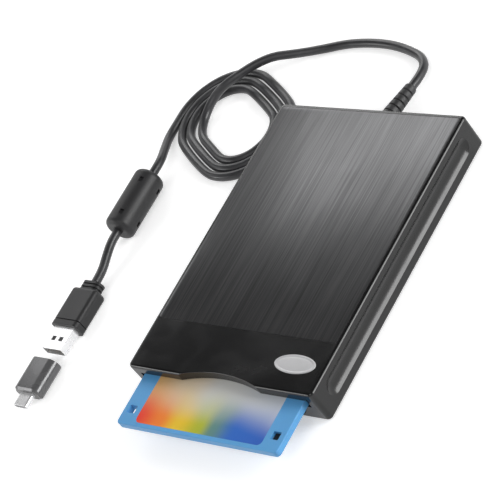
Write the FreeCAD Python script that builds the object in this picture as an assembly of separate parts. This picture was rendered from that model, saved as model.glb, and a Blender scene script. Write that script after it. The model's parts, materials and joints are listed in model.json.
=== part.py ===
import FreeCAD, Part
import math
import os

V = FreeCAD.Vector

# External floppy disk drive, millimetres. X to the right, Y to the back, Z up.
# The origin is the middle of the housing's flat underside; the front face looks towards -Y.

# Housing
HOUSING_W = 103.0
HOUSING_D = 142.5
HOUSING_H = 17.2
CORNER_R = 2.2
TOP_EDGE_R = 1.4
BOTTOM_EDGE_R = 0.9
PARTING_Z = 10.0
CAVITY_W = 96.4
CAVITY_FRONT_Y = -68.8
CAVITY_BACK_Y = 69.2
FLOOR_THICK = 1.5
CEILING_Z = 15.4
LIP = 1.0
LIP_GAP = 0.1

# Scooped finger channel along each side
SCOOP_BOTTOM_Z = 4.45
SCOOP_TOP_Z = 13.75
SCOOP_DEPTH = 1.5
SCOOP_END_Y = 64.0

# Finger notch in the front lip
NOTCH_HALF_W = 22.0
NOTCH_SETBACK = 3.4
NOTCH_WALL = 2.4

# Brushed plate and badge on the top
PLATE_FRONT_Y = -45.8
PLATE_BACK_Y = 69.35
PLATE_W = 99.4
PLATE_THICK = 0.4
BADGE_X = 35.3
BADGE_Y = -58.1
BADGE_HALF_L = 10.8
BADGE_HALF_W = 4.5
BADGE_SUNK = 0.3
BADGE_PROUD = 0.35

# Front openings
SLOT_HALF_W = 46.6
SLOT_Z0 = 8.4
SLOT_Z1 = 12.9
BUTTON_X = 33.0
BUTTON_Z = 5.1
BUTTON_W = 13.4
BUTTON_H = 3.6
BUTTON_GAP = 0.3
BUTTON_BACK_Y = -64.6
LENS_X = -33.0
LENS_Z = 5.1
LENS_R = 1.2

# Strain relief of the cord
RELIEF_Z = 6.7
RELIEF_COLLAR_R = 4.2
RELIEF_LENGTH = 23.4
RELIEF_BASE_R = 3.9
RELIEF_TIP_R = 2.75
RELIEF_RIBS = 6
RELIEF_DIRECTION = V(0.08, 1.0, -0.11).normalize()
RELIEF_START = V(0, HOUSING_D / 2 - 0.3, RELIEF_Z)

# Feet and screws
FOOT_R = 4.5
FOOT_DROP = 0.8
FOOT_SUNK = 0.5
FOOT_PLACES = [(-43.0, -60.0), (43.0, -60.0), (-43.0, 50.0), (43.0, 50.0)]
HOUSING_SCREW_PLACES = [(-43.5, 63.4), (43.5, 63.4)]
FRAME_SCREW_PLACES = [(-38.0, -44.0), (38.0, -44.0), (-38.0, 37.0), (38.0, 37.0)]
SCREW_R = 1.25
SCREW_CLEARANCE = 0.05
HEAD_R = 2.3

# Slim drive mechanism
FRAME_HALF_W = 47.8
FRAME_FRONT_Y = -65.0
FRAME_BACK_Y = 57.0
FRAME_Z0 = 1.9
FRAME_Z1 = 10.5
FRAME_WALL = 1.0
FRAME_FLOOR = 1.1
SPINDLE_Y = -21.5
SHAFT_R = 1.5
RUNNING_GAP = 0.04
ROTOR_R = 24.0
ROTOR_TOP_Z = 6.8
BOARD_THICK = 0.8
SLIDE_Z0 = 7.2
SLIDE_Z1 = 7.8
GUIDE_X = -15.0
GUIDE_Z = 5.2
GUIDE_Y0 = 1.0
GUIDE_Y1 = 52.0
LEAD_X = 17.0
LEAD_Z = 6.3
LEAD_Y0 = 4.2
STEPPER_Y0 = 42.0
STEPPER_Y1 = 55.6
STEPPER_R = 4.6
HEAD_Y = 18.0
ARM_PIVOT_Y = 43.5
ARM_PIVOT_Z = 13.2
ARM_PIN_R = 0.8

# Disk holder, hung in the frame on four pins
HOLDER_HALF_W = 46.5
HOLDER_Z0 = 8.0
HOLDER_Z1 = 13.0
HOLDER_SHEET = 0.5
HOLDER_FRONT_Y = -63.5
HOLDER_BACK_Y = 33.0
HOLDER_PIN_Y = (-50.0, 20.0)
HOLDER_PIN_Z = 9.2
HOLDER_PIN_R = 0.9

# Disk switches and the lever that opens the shutter
SWITCH_X = -39.9
SWITCH_Y = (-56.0, -50.5)
LEVER_X = 40.0
LEVER_Y = 50.0
LEVER_Z0 = 9.4
LEVER_THICK = 1.2
LEVER_REACH = 25.5
LEVER_TURN_DEG = 221.8
LEVER_PIN_R = 1.2

# Disk, partly pushed in
DISK_W = 90.0
DISK_L = 94.0
DISK_THICK = 3.3
DISK_Z0 = 8.9
DISK_FRONT_Y = -96.0
DISK_MID_Z = 10.55
HUB_FROM_FRONT = 49.0
DISK_BACK_Y = DISK_FRONT_Y + DISK_L
DISK_Z1 = DISK_Z0 + DISK_THICK
HUB_Y = DISK_FRONT_Y + HUB_FROM_FRONT
HOLE_X = 40.3
HOLE_Y = DISK_FRONT_Y + 7.7
HOLE_W = 4.2
HOLE_L = 3.8
LABEL_THICK = 0.15
LABEL_HALF_W = 35.4
LABEL_Y0 = DISK_FRONT_Y + 2.0
LABEL_Y1 = DISK_FRONT_Y + 56.0
MEDIA_R = 42.9
MEDIA_THICK = 0.1
SHUTTER_THICK = 0.3
SHUTTER_X0 = -21.0
SHUTTER_X1 = 12.0
SHUTTER_TRAVEL = 15.0
WINDOW_HALF_W = 4.5

# Cord and what is on it
FLOOR_Z = -FOOT_DROP
CORD_D = 4.2
CORD_Z = FLOOR_Z + CORD_D / 2
COIL_X = -89.5
COIL_Y = 68.3
COIL_TURN_DEG = -30.5
COIL_HALF_STRAIGHT = 9.0
COIL_FIRST_OFFSET = 14.5
COIL_PITCH = 4.7
COIL_HALF_TURNS = 5
HUMP_Z = FLOOR_Z + 2.5 * CORD_D
LANDING_R = 13.8
COIL_START = 1.4
FERRITE_X = -115.5
FERRITE_Z = 6.4
FERRITE_Y0 = 1.5
FERRITE_Y1 = 33.0
FERRITE_R = FERRITE_Z - FLOOR_Z
FERRITE_CORE_R = 6.0
PLUG_X = -114.0
PLUG_Z = 3.2
PLUG_BACK_Y = -26.0
PLUG_FRONT_Y = -51.0
PLUG_W = 16.0
PLUG_H = 2 * (PLUG_Z - FLOOR_Z)
SHELL_W = 12.0
SHELL_H = 4.5
SHELL_WALL = 0.3
SHELL_TIP_Y = -63.0
ADAPTER_BACK_Y = -69.0
ADAPTER_FRONT_Y = -86.0
ADAPTER_W = 15.9
SOCKET_DEPTH = 12.6
SOCKET_GAP = 0.15
TYPE_C_W = 8.34
TYPE_C_H = 2.56
TYPE_C_TIP_Y = -92.6


def block(x0, x1, y0, y1, z0, z1):
    """A box between two corners."""
    return Part.makeBox(x1 - x0, y1 - y0, z1 - z0, V(x0, y0, z0))


def disc(r, x, y, z0, z1):
    """An upright cylinder."""
    return Part.makeCylinder(r, z1 - z0, V(x, y, z0))


def rod(r, x, z, y0, y1):
    """A cylinder lying along Y."""
    return Part.makeCylinder(r, y1 - y0, V(x, y0, z), V(0, 1, 0))


def cross_rod(r, y, z, x0, x1):
    """A cylinder lying along X."""
    return Part.makeCylinder(r, x1 - x0, V(x0, y, z), V(1, 0, 0))


def rounded(x0, x1, y0, y1, z0, z1, r):
    """A box with rounded upright edges."""
    body = block(x0, x1, y0, y1, z0, z1)
    upright = [e for e in body.Edges if abs(e.BoundBox.ZLength - (z1 - z0)) < 1e-6]
    return body.makeFillet(r, upright)


def level_edges(shape, z, keep=None):
    """The edges that lie in the plane at height z."""
    found = []
    for edge in shape.Edges:
        box = edge.BoundBox
        if abs(box.ZMin - z) < 1e-4 and abs(box.ZMax - z) < 1e-4:
            if keep is None or keep(edge):
                found.append(edge)
    return found


def pill(x, z, w, h, y0, y1):
    """A bar along Y whose section is a flat pill."""
    r = h / 2
    half = w / 2 - r
    bar = block(x - half, x + half, y0, y1, z - r, z + r)
    for side in (-1, 1):
        bar = bar.fuse(rod(r, x + side * half, z, y0, y1))
    return bar.removeSplitter()


def save(name, shape):
    """Writes one piece, after testing that it is sound."""
    if not shape.isValid():
        raise ValueError(name + " is not a valid shape")
    shape.exportStep("parts/" + name + ".step")
    print("%-22s solids %d volume %.1f" % (name, len(shape.Solids), shape.Volume))


# Housing

def housing_form():
    """The outer form of the closed housing, with its scooped sides."""
    w = HOUSING_W / 2
    d = HOUSING_D / 2
    form = rounded(-w, w, -d, d, 0, HOUSING_H, CORNER_R)
    form = form.makeFillet(TOP_EDGE_R, level_edges(form, HOUSING_H))
    form = form.makeFillet(BOTTOM_EDGE_R, level_edges(form, 0))
    for side in (-1, 1):
        form = form.cut(side_scoop(side))
    return form


def side_scoop(side):
    """A round-bottomed channel with ball ends, cut into one side wall."""
    chord = (SCOOP_TOP_Z - SCOOP_BOTTOM_Z) / 2
    r = (chord ** 2 + SCOOP_DEPTH ** 2) / (2 * SCOOP_DEPTH)
    x = side * (HOUSING_W / 2 - SCOOP_DEPTH + r)
    z = (SCOOP_TOP_Z + SCOOP_BOTTOM_Z) / 2
    end = SCOOP_END_Y - chord
    scoop = rod(r, x, z, -end, end)
    for y in (-end, end):
        scoop = scoop.fuse(Part.makeSphere(r, V(x, y, z)))
    return scoop


def cavity():
    """The room inside the housing."""
    w = CAVITY_W / 2
    return rounded(-w, w, CAVITY_FRONT_Y, CAVITY_BACK_Y, FLOOR_THICK, CEILING_Z, 1.0)


def front_openings():
    """The disk slot, the button's hole and the lens hole."""
    front = -HOUSING_D / 2 - 1
    inner = CAVITY_FRONT_Y + 4
    slot = block(-SLOT_HALF_W, SLOT_HALF_W, front, inner, SLOT_Z0, SLOT_Z1)
    w = BUTTON_W / 2 + BUTTON_GAP
    h = BUTTON_H / 2 + BUTTON_GAP
    button = block(BUTTON_X - w, BUTTON_X + w, front, inner, BUTTON_Z - h, BUTTON_Z + h)
    lens = rod(LENS_R, LENS_X, LENS_Z, front, inner)
    return slot.fuse(button).fuse(lens)


def lip_ring(grow):
    """The ring where the two covers overlap; the rebate is the same ring grown by the gap."""
    w = CAVITY_W / 2
    outer = rounded(-w - LIP - grow, w + LIP + grow, CAVITY_FRONT_Y - LIP - grow,
                    CAVITY_BACK_Y + LIP / 2 + grow, PARTING_Z - 0.5, PARTING_Z + LIP + grow, 1.8)
    inner = rounded(-w, w, CAVITY_FRONT_Y, CAVITY_BACK_Y, 0, HOUSING_H, 1.0)
    return outer.cut(inner)


def cord_hole():
    """The round hole in the back wall for the strain relief."""
    return rod(RELIEF_COLLAR_R, 0, RELIEF_Z, CAVITY_BACK_Y - 1, HOUSING_D / 2 + 1)


def notch_cutter():
    """The finger notch: a shallow round bite with softened ends, through the front lip."""
    front = -HOUSING_D / 2
    r = (NOTCH_HALF_W ** 2 + NOTCH_SETBACK ** 2) / (2 * NOTCH_SETBACK)
    bite = disc(r, 0, front + NOTCH_SETBACK - r, SLOT_Z1 - 1, HOUSING_H + 1)
    ease = NOTCH_HALF_W * 0.35
    wedge = disc(ease * 6, 0, front + 0.45 - ease * 6, SLOT_Z1 - 1, HOUSING_H + 1)
    return bite.fuse(wedge)


def top_cover():
    """The top cover with its notch, plate recess, badge recess and screw posts."""
    shell = housing_form().cut(cavity())
    boss = block(-28, 28, CAVITY_FRONT_Y - 0.2, -HOUSING_D / 2 + NOTCH_SETBACK + NOTCH_WALL,
                 SLOT_Z1, CEILING_Z + 0.2)
    shell = shell.fuse(boss)
    for x, y in HOUSING_SCREW_PLACES:
        shell = shell.fuse(disc(3.2, x, y, PARTING_Z, CEILING_Z + 0.2))
    half = block(-60, 60, -80, 80, PARTING_Z, 20)
    shell = shell.common(half)
    shell = shell.cut(lip_ring(LIP_GAP)).cut(front_openings()).cut(cord_hole()).cut(notch_cutter())
    plate_w = PLATE_W / 2
    shell = shell.cut(rounded(-plate_w, plate_w, PLATE_FRONT_Y, PLATE_BACK_Y,
                              HOUSING_H - PLATE_THICK, HOUSING_H + 1, 1.2))
    shell = shell.cut(badge_form(HOUSING_H - BADGE_SUNK, HOUSING_H + 1))
    for x, y in HOUSING_SCREW_PLACES:
        shell = shell.cut(disc(SCREW_R + SCREW_CLEARANCE, x, y, PARTING_Z - 1, CEILING_Z - 1))
    shell = shell.removeSplitter()
    return soften_notch(shell)


def soften_notch(shell):
    """Rounds the notch's own rim, where the lip meets the top face."""
    def on_notch(edge):
        box = edge.BoundBox
        middle = (box.YMin + box.YMax) / 2
        return box.XMax < 30 and box.XMin > -30 and middle < -HOUSING_D / 2 + NOTCH_SETBACK + 0.2
    rim = level_edges(shell, HOUSING_H, on_notch)
    try:
        return shell.makeFillet(0.5, rim) if rim else shell
    except Exception:
        print("notch rim left sharp")
        return shell


def bottom_cover():
    """The bottom cover with its lip, posts, foot seats and counterbored screw holes."""
    shell = housing_form().cut(cavity())
    shell = shell.common(block(-60, 60, -80, 80, -1, PARTING_Z))
    shell = shell.fuse(lip_ring(0).common(block(-60, 60, -80, 80, PARTING_Z - 0.5, 20)))
    for x, y in HOUSING_SCREW_PLACES:
        shell = shell.fuse(disc(3.2, x, y, FLOOR_THICK - 0.2, PARTING_Z))
    for x, y in FRAME_SCREW_PLACES:
        shell = shell.fuse(disc(3.6, x, y, FLOOR_THICK - 0.2, FRAME_Z0))
    for x in (-31, 31):
        shell = shell.fuse(disc(2.0, x, 63.4, FLOOR_THICK - 0.2, 3.5))
    shell = shell.cut(front_openings()).cut(cord_hole())
    for x, y in FOOT_PLACES:
        shell = shell.cut(disc(FOOT_R, x, y, -1, FOOT_SUNK))
    for x, y in HOUSING_SCREW_PLACES:
        shell = shell.cut(disc(HEAD_R + 0.2, x, y, -1, 2.2))
        shell = shell.cut(disc(SCREW_R + 0.2, x, y, 0, PARTING_Z + 1))
    for x, y in FRAME_SCREW_PLACES:
        shell = shell.cut(disc(HEAD_R + 0.2, x, y, -1, 0.9))
        shell = shell.cut(disc(SCREW_R + 0.2, x, y, 0, 3))
    return shell.removeSplitter()


def brushed_top_plate():
    """The thin metal plate inlaid flush in the top."""
    w = PLATE_W / 2
    return rounded(-w, w, PLATE_FRONT_Y, PLATE_BACK_Y, HOUSING_H - PLATE_THICK, HOUSING_H, 1.2)


def badge_form(z0, z1):
    """An upright oval prism."""
    oval = Part.Ellipse(V(BADGE_X, BADGE_Y, z0), BADGE_HALF_L, BADGE_HALF_W)
    return Part.Face(Part.Wire(oval.toShape())).extrude(V(0, 0, z1 - z0))


def badge_plate():
    """The bare oval badge with a softened rim."""
    top = HOUSING_H + BADGE_PROUD
    badge = badge_form(HOUSING_H - BADGE_SUNK, top)
    return badge.makeFillet(0.3, level_edges(badge, top))


def rubber_feet():
    """Four round feet glued in shallow seats."""
    feet = []
    for x, y in FOOT_PLACES:
        foot = disc(FOOT_R, x, y, -FOOT_DROP, FOOT_SUNK)
        feet.append(foot.makeFillet(0.4, level_edges(foot, -FOOT_DROP)))
    return Part.makeCompound(feet)


def screw(x, y, head_z, shaft_top_z):
    """A pan-head screw driven upwards, with a cross recess."""
    shape = disc(HEAD_R, x, y, head_z, head_z + 0.8)
    shape = shape.makeFillet(0.4, level_edges(shape, head_z))
    shape = shape.fuse(disc(SCREW_R, x, y, head_z + 0.8, shaft_top_z))
    for turn in (0, 90):
        arm = block(x - 1.3, x + 1.3, y - 0.25, y + 0.25, head_z - 0.1, head_z + 0.45)
        arm.rotate(V(x, y, 0), V(0, 0, 1), turn)
        shape = shape.cut(arm)
    return shape


def housing_screws():
    """The two screws that join the covers at the back."""
    return Part.makeCompound([screw(x, y, 1.4, 13.0) for x, y in HOUSING_SCREW_PLACES])


def frame_screws():
    """The four screws that hold the mechanism on the bottom cover."""
    return Part.makeCompound([screw(x, y, 0.1, 3.4) for x, y in FRAME_SCREW_PLACES])


def led_lens():
    """The small indicator lens in the front wall."""
    front = -HOUSING_D / 2
    lens = rod(LENS_R, LENS_X, LENS_Z, front, CAVITY_FRONT_Y + 2.6)
    rim = lens.fuse(rod(LENS_R + 0.6, LENS_X, LENS_Z, CAVITY_FRONT_Y, CAVITY_FRONT_Y + 0.8))
    return rim.removeSplitter()


# Strain relief: a collar in the wall, then a tapered and ribbed sleeve that droops a little


def strain_relief():
    """Collar, flange and ribbed taper, with grooves all round between the ribs."""
    collar = rod(RELIEF_COLLAR_R, 0, RELIEF_Z, CAVITY_BACK_Y, HOUSING_D / 2 + 0.6)
    flange = rod(RELIEF_COLLAR_R + 0.8, 0, RELIEF_Z, CAVITY_BACK_Y - 1.2, CAVITY_BACK_Y)
    sleeve = Part.makeCone(RELIEF_BASE_R, RELIEF_TIP_R, RELIEF_LENGTH, RELIEF_START, RELIEF_DIRECTION)
    step = RELIEF_LENGTH / (RELIEF_RIBS + 1)
    for rib in range(RELIEF_RIBS):
        along = step * (rib + 0.75)
        r = RELIEF_BASE_R + (RELIEF_TIP_R - RELIEF_BASE_R) * along / RELIEF_LENGTH
        place = RELIEF_START + RELIEF_DIRECTION * along
        groove = Part.makeCylinder(r + 1, 1.0, place, RELIEF_DIRECTION)
        core = Part.makeCylinder(r - 0.55, 1.0, place, RELIEF_DIRECTION)
        sleeve = sleeve.cut(groove.cut(core))
    return collar.fuse(flange).fuse(sleeve).removeSplitter()


# Mechanism: chassis and fixed parts

def drive_frame():
    """The pressed tray of the mechanism, open in front, with bearing blocks for rod and screw."""
    w = FRAME_HALF_W
    tray = block(-w, w, FRAME_FRONT_Y, FRAME_BACK_Y, FRAME_Z0, FRAME_Z1)
    room = block(-w + FRAME_WALL, w - FRAME_WALL, FRAME_FRONT_Y - 1, FRAME_BACK_Y - FRAME_WALL,
                 FRAME_Z0 + FRAME_FLOOR, FRAME_Z1 + 1)
    tray = tray.cut(room)
    tray = tray.cut(disc(6.5, 0, SPINDLE_Y, 0, 4))
    tray = tray.cut(rounded(-21, 25, 7, 55.8, 0, 3.5, 3))
    tray = tray.cut(block(-45, -20, FRAME_BACK_Y - 2, FRAME_BACK_Y + 1, 4.4, 8.4))
    for x in (-40, 40):
        tray = tray.cut(rounded(x - 5, x + 5, -30, 20, 0, 3.5, 2.5))
    floor = FRAME_Z0 + FRAME_FLOOR
    for y in (GUIDE_Y0, GUIDE_Y1 - 3):
        tray = tray.fuse(block(GUIDE_X - 3, GUIDE_X + 3, y, y + 3, FRAME_Z0, 7.0))
    tray = tray.fuse(block(GUIDE_X - 3, GUIDE_X + 3, 49, 56.4, FRAME_Z0, floor))
    tray = tray.fuse(block(LEAD_X - 3, LEAD_X + 3, LEAD_Y0, LEAD_Y0 + 3, floor, 8.4))
    for y in (-54, -35, 32):
        tray = tray.fuse(disc(1.6, -43.5, y, floor, floor + 0.4))
    tray = tray.cut(rod(SHAFT_R, GUIDE_X, GUIDE_Z, GUIDE_Y0 - 1, GUIDE_Y1 + 1))
    tray = tray.cut(rod(SHAFT_R + RUNNING_GAP, LEAD_X, LEAD_Z, 0, LEAD_Y0 + 5))
    for x, y in FRAME_SCREW_PLACES:
        tray = tray.cut(disc(SCREW_R + SCREW_CLEARANCE, x, y, 0, 5))
    for side in (-1, 1):
        for y in HOLDER_PIN_Y:
            tray = tray.cut(cross_rod(HOLDER_PIN_R, y, HOLDER_PIN_Z, side * 47.3 - 2, side * 47.3 + 2))
    return tray.removeSplitter()


def disk_holder():
    """The folded sheet channel that the disk slides into, hung on four pins."""
    w = HOLDER_HALF_W
    outer = block(-w, w, HOLDER_FRONT_Y, HOLDER_BACK_Y, HOLDER_Z0, HOLDER_Z1)
    inner = block(-w + HOLDER_SHEET, w - HOLDER_SHEET, -70, 40,
                  HOLDER_Z0 + HOLDER_SHEET, HOLDER_Z1 - HOLDER_SHEET)
    holder = outer.cut(inner).cut(block(-w + 5.5, w - 5.5, -70, 40, 0, HOLDER_Z0 + 1))
    holder = holder.cut(block(-7, 7, -4, 40, HOLDER_Z1 - 1, 20))
    holder = holder.cut(block(-12, 12, 22, 40, HOLDER_Z1 - 1, 20))
    holder = holder.cut(disc(15, 0, SPINDLE_Y, HOLDER_Z1 - 1, 20))
    for x in (-31, 31):
        holder = holder.cut(rounded(x - 7, x + 7, -40, 10, HOLDER_Z1 - 1, 20, 3))
    holder = holder.cut(block(-60, 60, 24, 40, 0, HOLDER_Z1 - 2))
    for side in (-1, 1):
        for y in HOLDER_PIN_Y:
            x0 = min(side * w, side * FRAME_HALF_W)
            holder = holder.fuse(cross_rod(HOLDER_PIN_R, y, HOLDER_PIN_Z, x0, x0 + FRAME_HALF_W - w))
    return holder.removeSplitter()


def spindle_board():
    """The steel-backed board that carries the spindle motor."""
    z = FRAME_Z0 + FRAME_FLOOR
    board = disc(ROTOR_R + 0.9, 0, SPINDLE_Y, z, z + BOARD_THICK)
    board = board.fuse(rounded(-20, 20, -58, SPINDLE_Y, z, z + BOARD_THICK, 2))
    return board.cut(disc(4.5, 0, SPINDLE_Y, 0, 9)).removeSplitter()


def spindle_bearing():
    """The flanged bronze bush of the spindle."""
    z = FRAME_Z0 + FRAME_FLOOR + BOARD_THICK
    bush = disc(4.5, 0, SPINDLE_Y, 2.0, 5.9).fuse(disc(7.4, 0, SPINDLE_Y, z, z + 0.4))
    return bush.cut(disc(SHAFT_R + RUNNING_GAP, 0, SPINDLE_Y, 0, 9)).removeSplitter()


def spindle_stator():
    """The stator's toothed core with a wound block on each tooth."""
    z0 = FRAME_Z0 + FRAME_FLOOR + BOARD_THICK + 0.4
    core = disc(10, 0, SPINDLE_Y, z0, z0 + 1.2).cut(disc(4.5, 0, SPINDLE_Y, 0, 9))
    teeth = 9
    for tooth in range(teeth):
        arm = block(8, 20.5, -1, 1, z0 + 0.3, z0 + 0.9)
        shoe = block(20, 21.2, -4.6, 4.6, z0 + 0.3, z0 + 0.9)
        coil = rounded(11.5, 18.8, -2.3, 2.3, z0, z0 + 1.2, 0.8)
        limb = arm.fuse(shoe).fuse(coil)
        limb.rotate(V(0, 0, 0), V(0, 0, 1), 360.0 * tooth / teeth)
        limb.translate(V(0, SPINDLE_Y, 0))
        core = core.fuse(limb)
    return core.removeSplitter()


def spindle_rotor():
    """The rotor cup with its magnet ring, shaft, chuck, centre pin and drive pin."""
    cup = disc(ROTOR_R, 0, SPINDLE_Y, 4.3, ROTOR_TOP_Z)
    cup = cup.cut(disc(ROTOR_R - 2.0, 0, SPINDLE_Y, 4.0, ROTOR_TOP_Z - 0.6))
    cup = cup.makeFillet(0.5, [e for e in level_edges(cup, ROTOR_TOP_Z)])
    shaft = disc(SHAFT_R, 0, SPINDLE_Y, 2.1, ROTOR_TOP_Z - 0.5)
    return cup.fuse(shaft).removeSplitter()


def spindle_chuck():
    """The magnetic chuck plate that takes the disk's hub, with centre pin and drive pin."""
    plate = disc(14.5, 0, SPINDLE_Y, ROTOR_TOP_Z, ROTOR_TOP_Z + 0.7)
    plate = plate.fuse(disc(1.9, 0, SPINDLE_Y, ROTOR_TOP_Z, 8.5))
    plate = plate.fuse(disc(1.1, 10, SPINDLE_Y, ROTOR_TOP_Z, 8.3))
    return plate.removeSplitter()


def stepper_motor():
    """The small can motor that turns the lead screw."""
    can = rod(STEPPER_R, LEAD_X, LEAD_Z, STEPPER_Y0, STEPPER_Y1)
    can = can.cut(rod(SHAFT_R + RUNNING_GAP, LEAD_X, LEAD_Z, STEPPER_Y0 - 1, STEPPER_Y1 - 3))
    plug = block(LEAD_X - 2.5, LEAD_X + 2.5, STEPPER_Y0 + 3, STEPPER_Y1 - 3,
                 LEAD_Z + STEPPER_R - 1, LEAD_Z + STEPPER_R + 1.2)
    return can.fuse(plug.cut(rod(STEPPER_R - 0.5, LEAD_X, LEAD_Z, 0, 60))).removeSplitter()


def stepper_bracket():
    """The upright plate that holds the stepper on the frame."""
    floor = FRAME_Z0 + FRAME_FLOOR
    plate = block(12.2, 22.6, STEPPER_Y0 - 1, STEPPER_Y0, floor, 10.6)
    foot = block(21, 31, STEPPER_Y0 - 1, STEPPER_Y0 + 8, floor, floor + 1)
    return plate.fuse(foot).cut(rod(2.2, LEAD_X, LEAD_Z, 30, 50)).removeSplitter()


def guide_rod():
    """The ground rod that the head carriage slides on."""
    return rod(SHAFT_R, GUIDE_X, GUIDE_Z, GUIDE_Y0, GUIDE_Y1)


def lead_screw():
    """The lead screw with shallow rings standing for its thread's crests."""
    screw_rod = rod(SHAFT_R, LEAD_X, LEAD_Z, LEAD_Y0 + 0.3, STEPPER_Y1 - 4)
    return screw_rod.fuse(rod(SHAFT_R + 0.5, LEAD_X, LEAD_Z, 38.6, 40.4)).removeSplitter()


def head_carriage():
    """The moulded carriage: rod sleeve, screw follower, lower head arm and hinge ears."""
    sleeve = block(GUIDE_X - 3, GUIDE_X + 3, 22, 40, 3.4, 7.1)
    follower = block(LEAD_X - 3.2, LEAD_X + 3.2, 24, 34, 3.6, 8.2)
    deck = block(GUIDE_X, LEAD_X, 24, 34, 3.6, 6.2)
    spine = block(-9, 9, 20, 45.5, 3.6, 7.0)
    nose = block(-5.5, 5.5, 13, 24, 7.0, 8.1)
    root = block(-9, 9, 20, 24, 6.5, 8.1)
    body = sleeve.fuse(follower).fuse(deck).fuse(spine).fuse(nose).fuse(root)
    for side in (-1, 1):
        x = side * 7.9
        ear = block(x - 1.1, x + 1.1, 41, 45.5, 6.5, ARM_PIVOT_Z)
        ear = ear.fuse(cross_rod(2.0, ARM_PIVOT_Y, ARM_PIVOT_Z, x - 1.1, x + 1.1))
        body = body.fuse(ear)
    body = body.cut(rod(SHAFT_R + RUNNING_GAP, GUIDE_X, GUIDE_Z, 10, 60))
    body = body.cut(rod(SHAFT_R + RUNNING_GAP, LEAD_X, LEAD_Z, 10, 37))
    body = body.cut(cross_rod(ARM_PIN_R, ARM_PIVOT_Y, ARM_PIVOT_Z, -20, 20))
    return body.removeSplitter()


def lower_head():
    """The lower read head on the carriage's nose."""
    return rounded(-2.6, 2.6, HEAD_Y - 4, HEAD_Y + 4, 8.1, 8.6, 0.8)


def arm_hinge_pin():
    """The pin that the upper arm turns on."""
    return cross_rod(ARM_PIN_R, ARM_PIVOT_Y, ARM_PIVOT_Z, -9.6, 9.6)


def upper_head_arm():
    """The upper head's arm, tapered towards the head, with its hinge boss."""
    z0 = 13.1
    z1 = 14.3
    outline = [V(-4.5, 14, z0), V(4.5, 14, z0), V(6.2, 42, z0), V(-6.2, 42, z0)]
    blade = Part.Face(Part.makePolygon(outline + outline[:1])).extrude(V(0, 0, z1 - z0))
    blade = blade.cut(rounded(-2.4, 2.4, 24, 38, 12, 16, 1.2))
    boss = cross_rod(1.8, ARM_PIVOT_Y, ARM_PIVOT_Z, -6.4, 6.4)
    arm = blade.fuse(boss).cut(cross_rod(ARM_PIN_R + RUNNING_GAP, ARM_PIVOT_Y, ARM_PIVOT_Z, -9, 9))
    return arm.removeSplitter()


def upper_head():
    """The upper read head under its arm."""
    return rounded(-2.6, 2.6, HEAD_Y - 3.5, HEAD_Y + 3.5, 12.7, 13.1, 0.8)


def main_board():
    """The long drive board on the left, with its bare fixing holes."""
    z = FRAME_Z0 + FRAME_FLOOR + 0.4
    board = rounded(-46.2, -26.8, -60, 48, z, z + 1.0, 1.0)
    for x, y in FRAME_SCREW_PLACES:
        if x < 0:
            board = board.cut(disc(HEAD_R + 0.5, x, y, 0, 9))
    return board


def board_chips():
    """Two flat drive chips and a small one, with chamfered rims."""
    z = FRAME_Z0 + FRAME_FLOOR + 1.4
    chips = []
    for x, y, w, d, h in [(-36, 20, 12, 12, 1.4), (-36, -20, 10, 10, 1.4), (-34, 0, 6, 9, 1.2)]:
        chip = block(x - w / 2, x + w / 2, y - d / 2, y + d / 2, z, z + h)
        chips.append(chip.makeChamfer(0.25, level_edges(chip, z + h)))
    return Part.makeCompound(chips)


def usb_bridge_board():
    """The small interface board behind the mechanism."""
    return rounded(-37, 37, 58.4, 67.6, 3.5, 4.5, 0.8)


def bridge_chip():
    """The interface chip and its crystal can."""
    chip = block(8, 17, 59, 67, 4.5, 5.8)
    chip = chip.makeChamfer(0.25, level_edges(chip, 5.8))
    return Part.makeCompound([chip, pill(24, 5.6, 8, 2.2, 61, 65)])


def cable_headers():
    """The two sockets of the ribbon cable."""
    front = block(-45, -27, 44, 47.5, 4.4, 6.6).cut(block(-44.2, -27.8, 46, 48, 5.2, 5.6))
    back = block(-36.8, -18.8, 60.6, 64.2, 4.5, 6.7).cut(block(-36, -19.6, 60, 62.4, 5.4, 5.8))
    return Part.makeCompound([front, back])


def ribbon_cable():
    """The flat cable from the drive board to the interface board, swept aside in a shallow S."""
    half = 7.6
    thick = 0.25
    left = -36.0
    right = -27.8
    points = [(left, 46.2), (left, 49.5), (right, 57.5), (right, 62.2)]
    heights = [5.3, 5.3, 5.5, 5.5]
    sheets = []
    for (x0, y0), (x1, y1), z0, z1 in zip(points, points[1:], heights, heights[1:]):
        ring = [V(x0 - half, y0, z0), V(x0 + half, y0, z0), V(x1 + half, y1, z1), V(x1 - half, y1, z1)]
        sheets.append(Part.Face(Part.makePolygon(ring + ring[:1])).extrude(V(0, 0, thick)))
    cable = sheets[0]
    for sheet in sheets[1:]:
        cable = cable.fuse(sheet)
    return cable.removeSplitter()


def switch_block():
    """The housing of the two disk sensing switches."""
    z = FRAME_Z0 + FRAME_FLOOR + 1.4
    body = block(-45.4, -38, -58.5, -47.5, z, 6.6)
    for y in SWITCH_Y:
        body = body.cut(disc(0.9 + 0.1, SWITCH_X, y, z + 0.6, 9))
    return body


def switch_plungers():
    """The two sprung plungers that feel the disk."""
    z = FRAME_Z0 + FRAME_FLOOR + 1.4
    pins = []
    for y in SWITCH_Y:
        pins.append(disc(0.9, SWITCH_X, y, z + 1.6, 8.2))
    return Part.makeCompound(pins)


def lever_post():
    """The post that the shutter lever turns on."""
    floor = FRAME_Z0 + FRAME_FLOOR
    post = disc(2.4, LEVER_X, LEVER_Y, floor, LEVER_Z0 - 0.1)
    return post.fuse(disc(LEVER_PIN_R, LEVER_X, LEVER_Y, floor, LEVER_Z0 + 2.0)).removeSplitter()


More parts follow.
